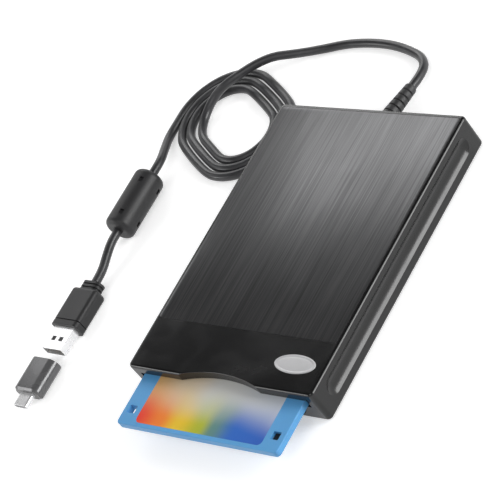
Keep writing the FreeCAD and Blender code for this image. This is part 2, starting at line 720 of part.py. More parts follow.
def shutter_lever():
    """The tapered lever that opens the disk's shutter, swung back as it is behind a full slot."""
    hub = disc(3.2, 0, 0, LEVER_Z0, LEVER_Z0 + LEVER_THICK)
    side = [V(0, -3.0, LEVER_Z0), V(LEVER_REACH, -1.5, LEVER_Z0), V(LEVER_REACH, 1.5, LEVER_Z0), V(0, 3.0, LEVER_Z0)]
    blade = Part.Face(Part.makePolygon(side + side[:1])).extrude(V(0, 0, LEVER_THICK))
    tip = disc(2.0, LEVER_REACH, 0, LEVER_Z0, LEVER_Z0 + LEVER_THICK + 0.8)
    lever = hub.fuse(blade).fuse(tip).cut(disc(LEVER_PIN_R + RUNNING_GAP, 0, 0, 0, 20))
    lever.rotate(V(0, 0, 0), V(0, 0, 1), LEVER_TURN_DEG)
    lever.translate(V(LEVER_X, LEVER_Y, 0))
    return lever.removeSplitter()


# Ejector: button and slide plate move together

def slide_plate():
    """The sliding plate under the disk holder, with its window and the button's arm."""
    plate = rounded(-44.6, 44.6, -61, 34, SLIDE_Z0, SLIDE_Z1, 1.5)
    window = disc(20, 0, SPINDLE_Y + 4, 0, 9).fuse(disc(20, 0, SPINDLE_Y - 4, 0, 9))
    plate = plate.cut(window)
    plate = plate.cut(rounded(-26, 28, -14, 40, 0, 9, 3))
    plate = plate.cut(rounded(-44, -38, -60, -42, 0, 9, 1))
    for x in (-34, 34):
        plate = plate.cut(rounded(x - 5, x + 5, -38, 26, 0, 9, 2))
    arm = block(BUTTON_X - 3, BUTTON_X + 3, BUTTON_BACK_Y, -59, SLIDE_Z0, SLIDE_Z1)
    drop = block(BUTTON_X - 3, BUTTON_X + 3, BUTTON_BACK_Y, BUTTON_BACK_Y + 0.8, 4.0, SLIDE_Z1)
    return plate.fuse(arm).fuse(drop).removeSplitter()


def eject_button():
    """The eject button, crowned in front, with its stop flange inside the wall."""
    front = -HOUSING_D / 2 - 1.2
    w = BUTTON_W / 2
    h = BUTTON_H / 2
    cap = block(BUTTON_X - w, BUTTON_X + w, front, BUTTON_BACK_Y, BUTTON_Z - h, BUTTON_Z + h)
    rim = [e for e in cap.Edges if abs(e.BoundBox.YMin - front) < 1e-6 and e.BoundBox.YLength < 1e-6]
    return cap.makeFillet(0.5, rim)


# The disk: shell halves, label, shutter, hub, media and write-protect slider


def disk_blank():
    """The disk's outer form with softened edges and shutter recesses on both faces."""
    w = DISK_W / 2
    blank = rounded(-w, w, DISK_FRONT_Y, DISK_BACK_Y, DISK_Z0, DISK_Z1, 2.0)
    for z in (DISK_Z0, DISK_Z1):
        blank = blank.makeFillet(0.4, level_edges(blank, z))
    x0 = SHUTTER_X0 - 0.4
    x1 = SHUTTER_X1 + SHUTTER_TRAVEL + 0.4
    recess_y = DISK_BACK_Y - 27
    deep = SHUTTER_THICK + 0.06
    blank = blank.cut(block(x0, x1, recess_y, 10, DISK_Z1 - deep, 20))
    blank = blank.cut(block(x0, x1, recess_y, 10, 0, DISK_Z0 + deep))
    blank = blank.cut(block(x0, x1, DISK_BACK_Y - deep, 10, 0, 20))
    room = disc(MEDIA_R + 0.6, 0, HUB_Y, DISK_Z0 + 1.0, DISK_Z1 - 0.9)
    blank = blank.cut(room)
    y0 = HUB_Y + 22.5
    y1 = HUB_Y + 41.5
    blank = blank.cut(rounded(-WINDOW_HALF_W, WINDOW_HALF_W, y0, y1, 0, 20, 1.5))
    return blank


def density_hole():
    """The open square hole in the left corner."""
    w = HOLE_W / 2
    d = HOLE_L / 2
    return rounded(-HOLE_X - w, -HOLE_X + w, HOLE_Y - d, HOLE_Y + d, 0, 20, 0.5)


def disk_shell_front():
    """The half with the label: label recess, holes and a finger step at the end."""
    shell = disk_blank().common(block(-60, 60, -120, 20, DISK_MID_Z, 20))
    shell = shell.cut(label_form(DISK_Z1 - LABEL_THICK, 20))
    shell = shell.cut(density_hole())
    w = HOLE_W / 2
    d = HOLE_L / 2
    shell = shell.cut(rounded(HOLE_X - w, HOLE_X + w, HOLE_Y - d, HOLE_Y + d, 0, 20, 0.5))
    return shell.removeSplitter()


def disk_shell_back():
    """The half with the hub opening and the write-protect slider's track."""
    shell = disk_blank().common(block(-60, 60, -120, 20, 0, DISK_MID_Z))
    shell = shell.cut(disc(13.4, 0, HUB_Y, 0, 10.3)).cut(density_hole())
    track = block(HOLE_X - 2.5, HOLE_X + 2.5, HOLE_Y - 2.4, HOLE_Y + 7.2, DISK_Z0 + 0.5, 12)
    window = block(HOLE_X - 2.1, HOLE_X + 2.1, HOLE_Y - 1.9, HOLE_Y + 6.6, 0, 12)
    return shell.cut(track).cut(window).removeSplitter()


def label_form(z0, z1):
    """The label's outline as an upright prism."""
    return rounded(-LABEL_HALF_W, LABEL_HALF_W, LABEL_Y0, LABEL_Y1, z0, z1, 2.4)


def disk_label():
    """The paper label."""
    return label_form(DISK_Z1 - LABEL_THICK, DISK_Z1)


def disk_liners():
    """The two soft liner rings that wipe the media."""
    rings = []
    for z in (DISK_Z0 + 1.0, DISK_Z1 - 0.9 - 0.3):
        ring = disc(MEDIA_R - 0.6, 0, HUB_Y, z, z + 0.3).cut(disc(14, 0, HUB_Y, 0, 20))
        ring = ring.cut(block(-6, 6, HUB_Y, HUB_Y + 50, 0, 20))
        rings.append(ring)
    return Part.makeCompound(rings)


def disk_shutter():
    """The folded metal shutter with its window, closed."""
    t = SHUTTER_THICK
    y0 = DISK_BACK_Y - 26.6
    outer = block(SHUTTER_X0, SHUTTER_X1, y0, DISK_BACK_Y, DISK_Z0, DISK_Z1)
    inner = block(SHUTTER_X0 - 1, SHUTTER_X1 + 1, y0 - 1, DISK_BACK_Y - t, DISK_Z0 + t, DISK_Z1 - t)
    shutter = outer.cut(inner)
    left = SHUTTER_X0 + 1.5
    window = rounded(left, left + 2 * WINDOW_HALF_W, HUB_Y + 22.5, HUB_Y + 41.5, 0, 20, 1.5)
    return shutter.cut(window).removeSplitter()


def disk_hub():
    """The pressed steel hub with its square centre hole and drive hole."""
    hub = disc(12.5, 0, HUB_Y, DISK_Z0 + 0.25, DISK_MID_Z - 0.05)
    hub = hub.cut(disc(10.8, 0, HUB_Y, DISK_Z0 + 0.8, 20))
    hub = hub.fuse(disc(14.2, 0, HUB_Y, DISK_MID_Z - 0.2, DISK_MID_Z - 0.05).cut(disc(10.8, 0, HUB_Y, 0, 20)))
    hub = hub.cut(block(-2, 2, HUB_Y - 2, HUB_Y + 2, 0, 20))
    hub = hub.cut(rounded(7.5, 11.0, HUB_Y - 4, HUB_Y + 4, 0, DISK_Z0 + 1.2, 1.0))
    return hub.removeSplitter()


def disk_media():
    """The thin magnetic sheet."""
    sheet = disc(MEDIA_R, 0, HUB_Y, DISK_MID_Z - 0.05, DISK_MID_Z - 0.05 + MEDIA_THICK)
    return sheet.cut(disc(11.5, 0, HUB_Y, 0, 20))


def write_protect_slider():
    """The small black slider that closes the right-hand hole."""
    foot = block(HOLE_X - 2.35, HOLE_X + 2.35, HOLE_Y - 2.2, HOLE_Y + 2.4, DISK_Z0 + 0.55, DISK_MID_Z - 0.05)
    grip = block(HOLE_X - 1.9, HOLE_X + 1.9, HOLE_Y - 1.7, HOLE_Y + 2.0, DISK_Z0 + 0.1, DISK_Z0 + 0.6)
    return foot.fuse(grip).removeSplitter()


# Cord

def turn_vectors():
    """The coil's long direction and the direction across it."""
    a = math.radians(COIL_TURN_DEG)
    return V(math.cos(a), math.sin(a), 0), V(-math.sin(a), math.cos(a), 0)


def coil_point(along, across):
    """A point on the floor plane, in the coil's own directions."""
    u, v = turn_vectors()
    return V(COIL_X, COIL_Y, CORD_Z) + u * along + v * across


def coil_end_point(dx, dy, z):
    """A point given from the middle of the coil's upper left bend, at height z."""
    middle = coil_point(-COIL_HALF_STRAIGHT, 0)
    return V(middle.x + dx, middle.y + dy, z)


def lead_points():
    """The cord's route from the strain relief over the coil and into it."""
    exit_point = RELIEF_START + RELIEF_DIRECTION * RELIEF_LENGTH
    route = [exit_point, exit_point + RELIEF_DIRECTION * 10.0, V(-3.2, 112.6, 1.5), V(-13.5, 116.8, CORD_Z),
             V(-25.5, 119.6, CORD_Z), V(-38.5, 120.2, CORD_Z), V(-51.5, 119.0, CORD_Z),
             V(-63.5, 115.4, CORD_Z), V(-74.5, 109.6, CORD_Z + 3.0)]
    route += [coil_end_point(12.0, 29.6, HUMP_Z), coil_end_point(-2.0, 14.6, HUMP_Z)]
    middle = coil_point(-COIL_HALF_STRAIGHT, -0.75)
    for r, degrees, z in ((LANDING_R, 135, CORD_Z + 4.4), (LANDING_R - 1.2, 181, CORD_Z + 0.6)):
        a = math.radians(degrees)
        route.append(V(middle.x + r * math.cos(a), middle.y + r * math.sin(a), z))
    route.append(coil_point(COIL_START - 12.0, -COIL_FIRST_OFFSET))
    route.append(coil_point(COIL_START, -COIL_FIRST_OFFSET))
    return route


def tail_points():
    """The cord's route from the coil up to the ferrite bead."""
    end = coil_tail_end()
    return [end, end + V(0, -8.4, 0), V(-120.4, 50.4, 3.9), V(FERRITE_X, 42.0, FERRITE_Z),
            V(FERRITE_X, FERRITE_Y1, FERRITE_Z)]


def plug_points():
    """The cord's route from the ferrite bead to the plug."""
    return [V(FERRITE_X, FERRITE_Y0, FERRITE_Z), V(FERRITE_X, -5.0, FERRITE_Z), V(-116.4, -12.3, 4.6),
            V(PLUG_X, -19.2, PLUG_Z), V(PLUG_X, PLUG_BACK_Y, PLUG_Z)]


def rounded_route(points, name):
    """Straight runs joined by tangent arcs; prints the least radius."""
    edges = []
    start = points[0]
    least = 1e9
    for before, corner, after in zip(points, points[1:], points[2:]):
        back = before - corner
        ahead = after - corner
        shorter = min(back.Length, ahead.Length)
        turn = math.pi - back.getAngle(ahead)
        radius = 0.45 * shorter / math.tan(turn / 2)
        least = min(least, radius)
        print("  run %.1f turn %.0f radius %.1f" % (back.Length, math.degrees(turn), radius))
        trim = 0.45 * shorter
        enter = corner + V(back).normalize() * trim
        leave = corner + V(ahead).normalize() * trim
        inward = (V(back).normalize() + V(ahead).normalize()).normalize()
        reach = math.hypot(radius, trim) - radius
        edges.append(Part.LineSegment(start, enter).toShape())
        edges.append(Part.Arc(enter, corner + inward * reach, leave).toShape())
        start = leave
    edges.append(Part.LineSegment(start, points[-1]).toShape())
    print("%-22s least radius %.1f" % (name, least))
    return edges


def tube(edges, name):
    """A round tube along the edges, with its volume compared with section times length."""
    path = Part.Wire(edges)
    first = edges[0]
    start = first.valueAt(first.FirstParameter)
    ahead = first.tangentAt(first.FirstParameter)
    ring = Part.Wire(Part.Circle(start, ahead, CORD_D / 2).toShape())
    sweep = Part.BRepOffsetAPI.MakePipeShell(path)
    sweep.add(ring)
    sweep.build()
    sweep.makeSolid()
    solid = sweep.shape()
    expected = math.pi * CORD_D ** 2 / 4 * path.Length
    print("%-22s length %.1f volume ratio %.4f" % (name, path.Length, solid.Volume / expected))
    return solid


def coil_edges():
    """Straight stretches and half-turn arcs that grow by half a pitch each half turn."""
    edges = []
    offset = COIL_FIRST_OFFSET
    half = COIL_HALF_STRAIGHT
    side = -1
    start = coil_point(COIL_START, -offset)
    for number in range(COIL_HALF_TURNS):
        bend = -side * half
        enter = coil_point(bend, side * offset)
        following = offset + COIL_PITCH / 2
        leave = coil_point(bend, -side * following)
        outermost = coil_point(bend - side * (offset + following) / 2, side * (offset - following) / 2)
        edges.append(Part.LineSegment(start, enter).toShape())
        edges.append(Part.Arc(enter, outermost, leave).toShape())
        start = leave
        offset = following
        side = -side
    edges.append(Part.LineSegment(start, coil_point(-half, side * offset)).toShape())
    edges += tail_bend(offset)
    return edges


def tail_bend(offset):
    """The last bend of the coil, as far as the heading straight towards the front."""
    following = offset + COIL_PITCH / 2
    r = (offset + following) / 2
    middle = coil_point(-COIL_HALF_STRAIGHT, (offset - following) / 2)
    enter = coil_point(-COIL_HALF_STRAIGHT, offset)
    sweep = math.radians(90 - COIL_TURN_DEG)
    first = math.radians(90 + COIL_TURN_DEG)
    half_way = V(math.cos(first + sweep / 2), math.sin(first + sweep / 2), 0)
    leave = middle + V(-r, 0, 0)
    arc = Part.Arc(enter, middle + half_way * r, leave).toShape()
    return [arc, Part.LineSegment(leave, leave + V(0, -CORD_D, 0)).toShape()]


def coil_tail_end():
    """Where the coil's tail leaves it."""
    offset = COIL_FIRST_OFFSET + COIL_HALF_TURNS * COIL_PITCH / 2
    last = tail_bend(offset)[-1]
    return last.valueAt(last.LastParameter)


def coil_gap(edges):
    """The least gap between the coil's strands, measured on points of its path."""
    points = []
    for edge in edges:
        points += edge.discretize(max(2, int(edge.Length)))
    lengths = [0.0]
    for a, b in zip(points, points[1:]):
        lengths.append(lengths[-1] + (b - a).Length)
    least = 1e9
    for i in range(len(points)):
        for j in range(i + 1, len(points)):
            if lengths[j] - lengths[i] > 6 * CORD_D:
                least = min(least, (points[i] - points[j]).Length)
    print("coil least gap %.2f" % (least - CORD_D))


# Pieces on the cord

def ferrite_overmould():
    """The moulded sleeve of the ferrite bead, with rounded ends and pin marks."""
    sleeve = rod(FERRITE_R, FERRITE_X, FERRITE_Z, FERRITE_Y0, FERRITE_Y1)
    ends = [e for e in sleeve.Edges if e.BoundBox.YLength < 1e-6]
    sleeve = sleeve.makeFillet(2.6, ends)
    y0 = FERRITE_Y0 + 3.2
    y1 = FERRITE_Y1 - 3.2
    sleeve = sleeve.cut(rod(FERRITE_CORE_R, FERRITE_X, FERRITE_Z, y0, y1))
    top = FERRITE_Z + FERRITE_R
    for y in (FERRITE_Y0 + 6.5, FERRITE_Y1 - 6.5):
        for turn in (0, 90, 180, 270):
            pin = block(FERRITE_X - 0.9, FERRITE_X + 0.9, y - 1.3, y + 1.3, top - 0.9, top + 1)
            pin.rotate(V(FERRITE_X, 0, FERRITE_Z), V(0, 1, 0), turn + 22)
            sleeve = sleeve.cut(pin)
    return sleeve.removeSplitter()


def ferrite_core():
    """The ferrite cylinder inside the sleeve."""
    return rod(FERRITE_CORE_R, FERRITE_X, FERRITE_Z, FERRITE_Y0 + 3.2, FERRITE_Y1 - 3.2)


def plug_overmould():
    """The plug's grip: ribbed neck, rounded shoulders and a slight front collar."""
    w = PLUG_W / 2
    h = PLUG_H / 2
    x0 = PLUG_X - w
    x1 = PLUG_X + w
    z0 = PLUG_Z - h
    z1 = PLUG_Z + h
    body = block(x0, x1, PLUG_FRONT_Y, PLUG_BACK_Y - 4.4, z0, z1)
    sides = [e for e in body.Edges if e.BoundBox.YLength > 15]
    body = body.makeFillet(2.2, sides)
    back = [e for e in body.Edges if abs(e.BoundBox.YMin - (PLUG_BACK_Y - 4.4)) < 1e-4]
    body = body.makeFillet(1.6, back)
    neck = pill(PLUG_X, PLUG_Z, 11.6, 6.0, PLUG_BACK_Y - 5.4, PLUG_BACK_Y)
    body = body.fuse(neck)
    for y in (PLUG_BACK_Y - 1.6, PLUG_BACK_Y - 3.4):
        outer = pill(PLUG_X, PLUG_Z, 14, 8, y - 0.4, y + 0.4)
        body = body.cut(outer.cut(pill(PLUG_X, PLUG_Z, 10.4, 4.8, y - 0.4, y + 0.4)))
    groove_y = PLUG_FRONT_Y + 2.6
    outer = block(x0 - 1, x1 + 1, groove_y, groove_y + 0.6, z0 - 1, z1 + 1)
    core = block(x0 + 0.4, x1 - 0.4, groove_y, groove_y + 0.6, z0 + 0.4, z1 - 0.4)
    core_edges = [e for e in core.Edges if abs(e.BoundBox.YLength - 0.6) < 1e-6]
    body = body.cut(outer.cut(core.makeFillet(2.0, core_edges)))
    socket = block(PLUG_X - SHELL_W / 2, PLUG_X + SHELL_W / 2, PLUG_FRONT_Y - 1, PLUG_FRONT_Y + 4,
                   PLUG_Z - SHELL_H / 2, PLUG_Z + SHELL_H / 2)
    return body.cut(socket).removeSplitter()


def plug_shell():
    """The steel shell of the plug with its two pairs of square latch holes."""
    w = SHELL_W / 2
    h = SHELL_H / 2
    back = PLUG_FRONT_Y + 4
    outer = block(PLUG_X - w, PLUG_X + w, SHELL_TIP_Y, back, PLUG_Z - h, PLUG_Z + h)
    inner = block(PLUG_X - w + SHELL_WALL, PLUG_X + w - SHELL_WALL, SHELL_TIP_Y - 1, back - 1,
                  PLUG_Z - h + SHELL_WALL, PLUG_Z + h - SHELL_WALL)
    shell = outer.cut(inner)
    for side in (-1, 1):
        x = PLUG_X + side * 2.25
        shell = shell.cut(block(x - 1.25, x + 1.25, -58.6, -56.3, PLUG_Z - 9, PLUG_Z + 9))
    return shell


def plug_tongue():
    """The plastic tongue in the upper half of the shell."""
    w = SHELL_W / 2 - SHELL_WALL
    z1 = PLUG_Z + SHELL_H / 2 - SHELL_WALL
    return block(PLUG_X - w, PLUG_X + w, SHELL_TIP_Y + 0.8, PLUG_FRONT_Y + 3, z1 - 1.7, z1)


def plug_contacts():
    """Four gilt contact strips under the tongue."""
    z = PLUG_Z + SHELL_H / 2 - SHELL_WALL - 1.7
    strips = []
    for x in (-3.5, -1.1, 1.1, 3.5):
        strips.append(block(PLUG_X + x - 0.5, PLUG_X + x + 0.5, SHELL_TIP_Y + 1.8, PLUG_FRONT_Y, z - 0.15, z))
    return Part.makeCompound(strips)


def adapter_body():
    """The pill-shaped metal sleeve of the adapter, chamfered at its narrow end, with its socket."""
    body = pill(PLUG_X, PLUG_Z, ADAPTER_W, PLUG_H, ADAPTER_FRONT_Y, ADAPTER_BACK_Y)
    rims = [e for e in body.Edges if e.BoundBox.YLength < 1e-6 and e.BoundBox.YMin < ADAPTER_FRONT_Y + 1e-4]
    body = body.makeChamfer(0.9, rims)
    w = SHELL_W / 2 + SOCKET_GAP + 0.4
    h = SHELL_H / 2 + SOCKET_GAP + 0.4
    hollow = block(PLUG_X - w, PLUG_X + w, ADAPTER_BACK_Y - SOCKET_DEPTH, ADAPTER_BACK_Y + 1,
                   PLUG_Z - h, PLUG_Z + h)
    hole = pill(PLUG_X, PLUG_Z, TYPE_C_W, TYPE_C_H, ADAPTER_FRONT_Y - 1, ADAPTER_FRONT_Y + 4)
    return body.cut(hollow).cut(hole).removeSplitter()


def adapter_socket():
    """The socket's steel liner with its own tongue in the lower half."""
    w = SHELL_W / 2 + SOCKET_GAP
    h = SHELL_H / 2 + SOCKET_GAP
    y0 = ADAPTER_BACK_Y - SOCKET_DEPTH
    outer = block(PLUG_X - w - 0.4, PLUG_X + w + 0.4, y0, ADAPTER_BACK_Y - 0.3, PLUG_Z - h - 0.4, PLUG_Z + h + 0.4)
    inner = block(PLUG_X - w, PLUG_X + w, y0 + 0.5, ADAPTER_BACK_Y + 1, PLUG_Z - h, PLUG_Z + h)
    return outer.cut(inner)


def adapter_tongue():
    """The socket's plastic tongue with room round it for the plug's shell."""
    z0 = PLUG_Z - SHELL_H / 2 + SHELL_WALL + 0.2
    y0 = ADAPTER_BACK_Y - SOCKET_DEPTH + 0.5
    return block(PLUG_X - 5.3, PLUG_X + 5.3, y0, ADAPTER_BACK_Y - 2.6, z0, z0 + 1.6)


def type_c_shell():
    """The small oval steel shell of the adapter's narrow plug."""
    outer = pill(PLUG_X, PLUG_Z, TYPE_C_W, TYPE_C_H, TYPE_C_TIP_Y, ADAPTER_FRONT_Y + 4)
    inner = pill(PLUG_X, PLUG_Z, TYPE_C_W - 1.0, TYPE_C_H - 1.0, TYPE_C_TIP_Y - 1, ADAPTER_FRONT_Y + 1)
    return outer.cut(inner)


def build_all():
    """Builds every piece and writes it."""
    os.makedirs("parts", exist_ok=True)
    makers = [top_cover, bottom_cover, brushed_top_plate, badge_plate, rubber_feet, housing_screws,
              frame_screws, led_lens, strain_relief, drive_frame, disk_holder, spindle_board,
              spindle_bearing, spindle_stator, spindle_rotor, spindle_chuck, stepper_motor,
              stepper_bracket, guide_rod, lead_screw, head_carriage, lower_head, arm_hinge_pin,
              upper_head_arm, upper_head, main_board, board_chips, usb_bridge_board, bridge_chip,
              cable_headers, ribbon_cable, switch_block, switch_plungers, lever_post, shutter_lever,
              slide_plate, eject_button, disk_shell_front, disk_shell_back, disk_label, disk_liners,
              disk_shutter, disk_hub, disk_media, write_protect_slider, ferrite_overmould,
              ferrite_core, plug_overmould, plug_shell, plug_tongue, plug_contacts, adapter_body,
              adapter_socket, adapter_tongue, type_c_shell]
    for maker in makers:
        save(maker.__name__, maker())
    save("cord_lead", tube(rounded_route(lead_points(), "cord_lead"), "cord_lead"))
    coil = coil_edges()
    coil_gap(coil)
    save("cord_coil", tube(coil, "cord_coil"))
    save("cord_tail", tube(rounded_route(tail_points(), "cord_tail"), "cord_tail"))
    save("cord_end", tube(rounded_route(plug_points(), "cord_end"), "cord_end"))


build_all()
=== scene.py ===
import json
import logging
import math
from dataclasses import dataclass
from enum import Enum
from typing import Optional, Sequence

import bmesh
import bpy
import numpy as np
from mathutils import Matrix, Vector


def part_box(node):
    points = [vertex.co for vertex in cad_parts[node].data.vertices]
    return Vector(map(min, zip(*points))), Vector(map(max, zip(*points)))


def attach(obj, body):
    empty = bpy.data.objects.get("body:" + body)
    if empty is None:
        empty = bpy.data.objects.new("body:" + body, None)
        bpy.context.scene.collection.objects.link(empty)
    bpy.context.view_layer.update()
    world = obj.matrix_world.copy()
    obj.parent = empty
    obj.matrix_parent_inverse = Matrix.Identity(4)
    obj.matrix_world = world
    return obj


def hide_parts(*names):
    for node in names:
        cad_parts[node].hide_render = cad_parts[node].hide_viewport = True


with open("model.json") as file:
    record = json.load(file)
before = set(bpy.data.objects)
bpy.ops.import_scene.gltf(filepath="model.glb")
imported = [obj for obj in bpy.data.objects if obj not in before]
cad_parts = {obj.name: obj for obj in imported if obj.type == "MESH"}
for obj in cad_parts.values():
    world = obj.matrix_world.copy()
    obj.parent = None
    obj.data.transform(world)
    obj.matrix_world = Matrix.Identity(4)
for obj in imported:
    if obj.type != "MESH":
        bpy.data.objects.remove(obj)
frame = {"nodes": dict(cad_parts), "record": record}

MM = 0.001
Colour = tuple[float, float, float]
Place = tuple[float, float, float]
Span = tuple[float, float]
Socket = bpy.types.NodeSocket
UNIT: Span = (0.0, 1.0)

# Corners nearer than this are one corner, in metres: in a new mesh, and in a copy of an imported one
NEW_MERGE = 1e-7
COPY_MERGE = 2e-6

log = logging.getLogger("floppy_drive")


# Node trees and shared effects


class Canvas:
    """A node tree, with short calls that add nodes and join them."""

    # The mix node keeps its colour inputs and its colour output at these numbers
    MIX_DARK, MIX_LIGHT, MIX_COLOUR = 6, 7, 2

    def __init__(self, tree: bpy.types.NodeTree) -> None:
        """Takes the tree to work on."""
        self.tree = tree

    def join(self, source: Socket, target: Socket) -> None:
        """Joins one socket to another."""
        self.tree.links.new(source, target)

    def feed(self, target: Socket, value: object) -> None:
        """Sets an input's value, or joins a socket to it."""
        if isinstance(value, bpy.types.NodeSocket):
            self.join(value, target)
        else:
            target.default_value = value

    def add(self, kind: str, settings: Optional[dict] = None, numbered: Sequence[object] = (),
            **named: object) -> bpy.types.Node:
        """Adds a node.

        Args:
            kind: the node's type name.
            settings: attributes set on the node itself.
            numbered: the first inputs' values or sockets in order, for inputs that share a name.
            named: values or sockets by input name, with underscores for spaces.

        Returns:
            The new node.
        """
        node = self.tree.nodes.new(kind)
        for key, value in (settings or {}).items():
            setattr(node, key, value)
        for number, value in enumerate(numbered):
            self.feed(node.inputs[number], value)
        for key, value in named.items():
            self.feed(node.inputs[key.replace("_", " ")], value)
        return node

    def noise(self, place: Socket, scale: object, detail: float, **named: object) -> Socket:
        """Gives cloudy noise from about 0.3 to 0.7."""
        node = self.add("ShaderNodeTexNoise", Vector=place, Scale=scale, Detail=detail, **named)
        return node.outputs["Fac"]

    def remap(self, value: Socket, source: Span = UNIT, target: Span = UNIT, smooth: bool = False) -> Socket:
        """Carries a value from one range to another and holds it inside, in a line or a smooth step."""
        settings = {"interpolation_type": "SMOOTHSTEP"} if smooth else {}
        node = self.add("ShaderNodeMapRange", settings, Value=value, From_Min=source[0], From_Max=source[1],
                        To_Min=target[0], To_Max=target[1])
        return node.outputs["Result"]

    def maths(self, operation: str, *values: object) -> Socket:
        """Works out one operation on numbers or sockets."""
        return self.add("ShaderNodeMath", {"operation": operation}, values).outputs["Value"]

    def mixed(self, factor: Socket, dark: object, light: object) -> Socket:
        """Mixes two colours, or two colour sockets, by a mask."""
        mix = self.add("ShaderNodeMix", {"data_type": "RGBA"}, Factor=factor)
        self.feed(mix.inputs[self.MIX_DARK], dark)
        self.feed(mix.inputs[self.MIX_LIGHT], light)
        return mix.outputs[self.MIX_COLOUR]

    def ramp(self, along: Socket, stops: Sequence[tuple[float, Colour]], blend: str) -> Socket:
        """Makes a ramp of colours at their places along a value from 0 to 1."""
        node = self.add("ShaderNodeValToRGB", Fac=along)
        node.color_ramp.interpolation = blend
        elements = node.color_ramp.elements
        while len(elements) < len(stops):
            elements.new(0.5)
        for element, (place, colour) in zip(elements, stops):
            element.position = place
            element.color = (*colour, 1.0)
        return node.outputs["Color"]

    def rays(self, *kinds: str) -> Socket:
        """Gives 1 for the named kinds of ray and 0 for the rest."""
        path = self.add("ShaderNodeLightPath")
        shown = path.outputs[kinds[0]]
        for kind in kinds[1:]:
            shown = self.maths("MAXIMUM", shown, path.outputs[kind])
        return shown


class Board(Canvas):
    """The nodes of a new material, round one principled surface."""

    def __init__(self, name: str) -> None:
        """Makes the material with a bare surface."""
        self.material = bpy.data.materials.new(name)
        self.material.use_nodes = True
        super().__init__(self.material.node_tree)
        self.tree.nodes.clear()
        self.output = self.add("ShaderNodeOutputMaterial")
        self.surface = self.add("ShaderNodeBsdfPrincipled")
        self.join(self.surface.outputs["BSDF"], self.output.inputs["Surface"])

    def set_surface(self, **named: object) -> None:
        """Sets or joins the surface's inputs by name, with underscores for spaces."""
        for key, value in named.items():
            self.feed(self.surface.inputs[key.replace("_", " ")], value)

    def place(self) -> Socket:
        """Gives object coordinates."""
        return self.add("ShaderNodeTexCoord").outputs["Object"]

    def effect(self, group: bpy.types.NodeTree, **values: object) -> bpy.types.Node:
        """Places a shared effect with its own values."""
        return self.add("ShaderNodeGroup", {"node_tree": group}, **values)

    def grain(self, scale: float, patches: float) -> bpy.types.Node:
        """Places the moulded grain, with the scales of its noise and of its patches."""
        return self.effect(EFFECTS.grain(), Vector=self.place(), Scale=scale, Patch_Scale=patches)

    def smudges(self, scale: float) -> Socket:
        """Places the handling smudges and gives their mask."""
        return self.effect(EFFECTS.smudges(), Vector=self.place(), Scale=scale).outputs["Mask"]

    def tint(self, factor: Socket, dark: Colour, light: Colour) -> None:
        """Colours the surface from dark to light by a mask."""
        self.set_surface(Base_Color=self.mixed(factor, (*dark, 1.0), (*light, 1.0)))

    def gloss(self, factor: Socket, low: float, high: float) -> None:
        """Varies the roughness from low to high by a mask."""
        self.set_surface(Roughness=self.remap(factor, target=(low, min(1.0, high))))

    def bump(self, height: Socket, depth: float, strength: float) -> None:
        """Raises the surface by a height map of that depth in metres."""
        bump = self.add("ShaderNodeBump", Height=height, Distance=depth, Strength=strength)
        self.set_surface(Normal=bump.outputs["Normal"])


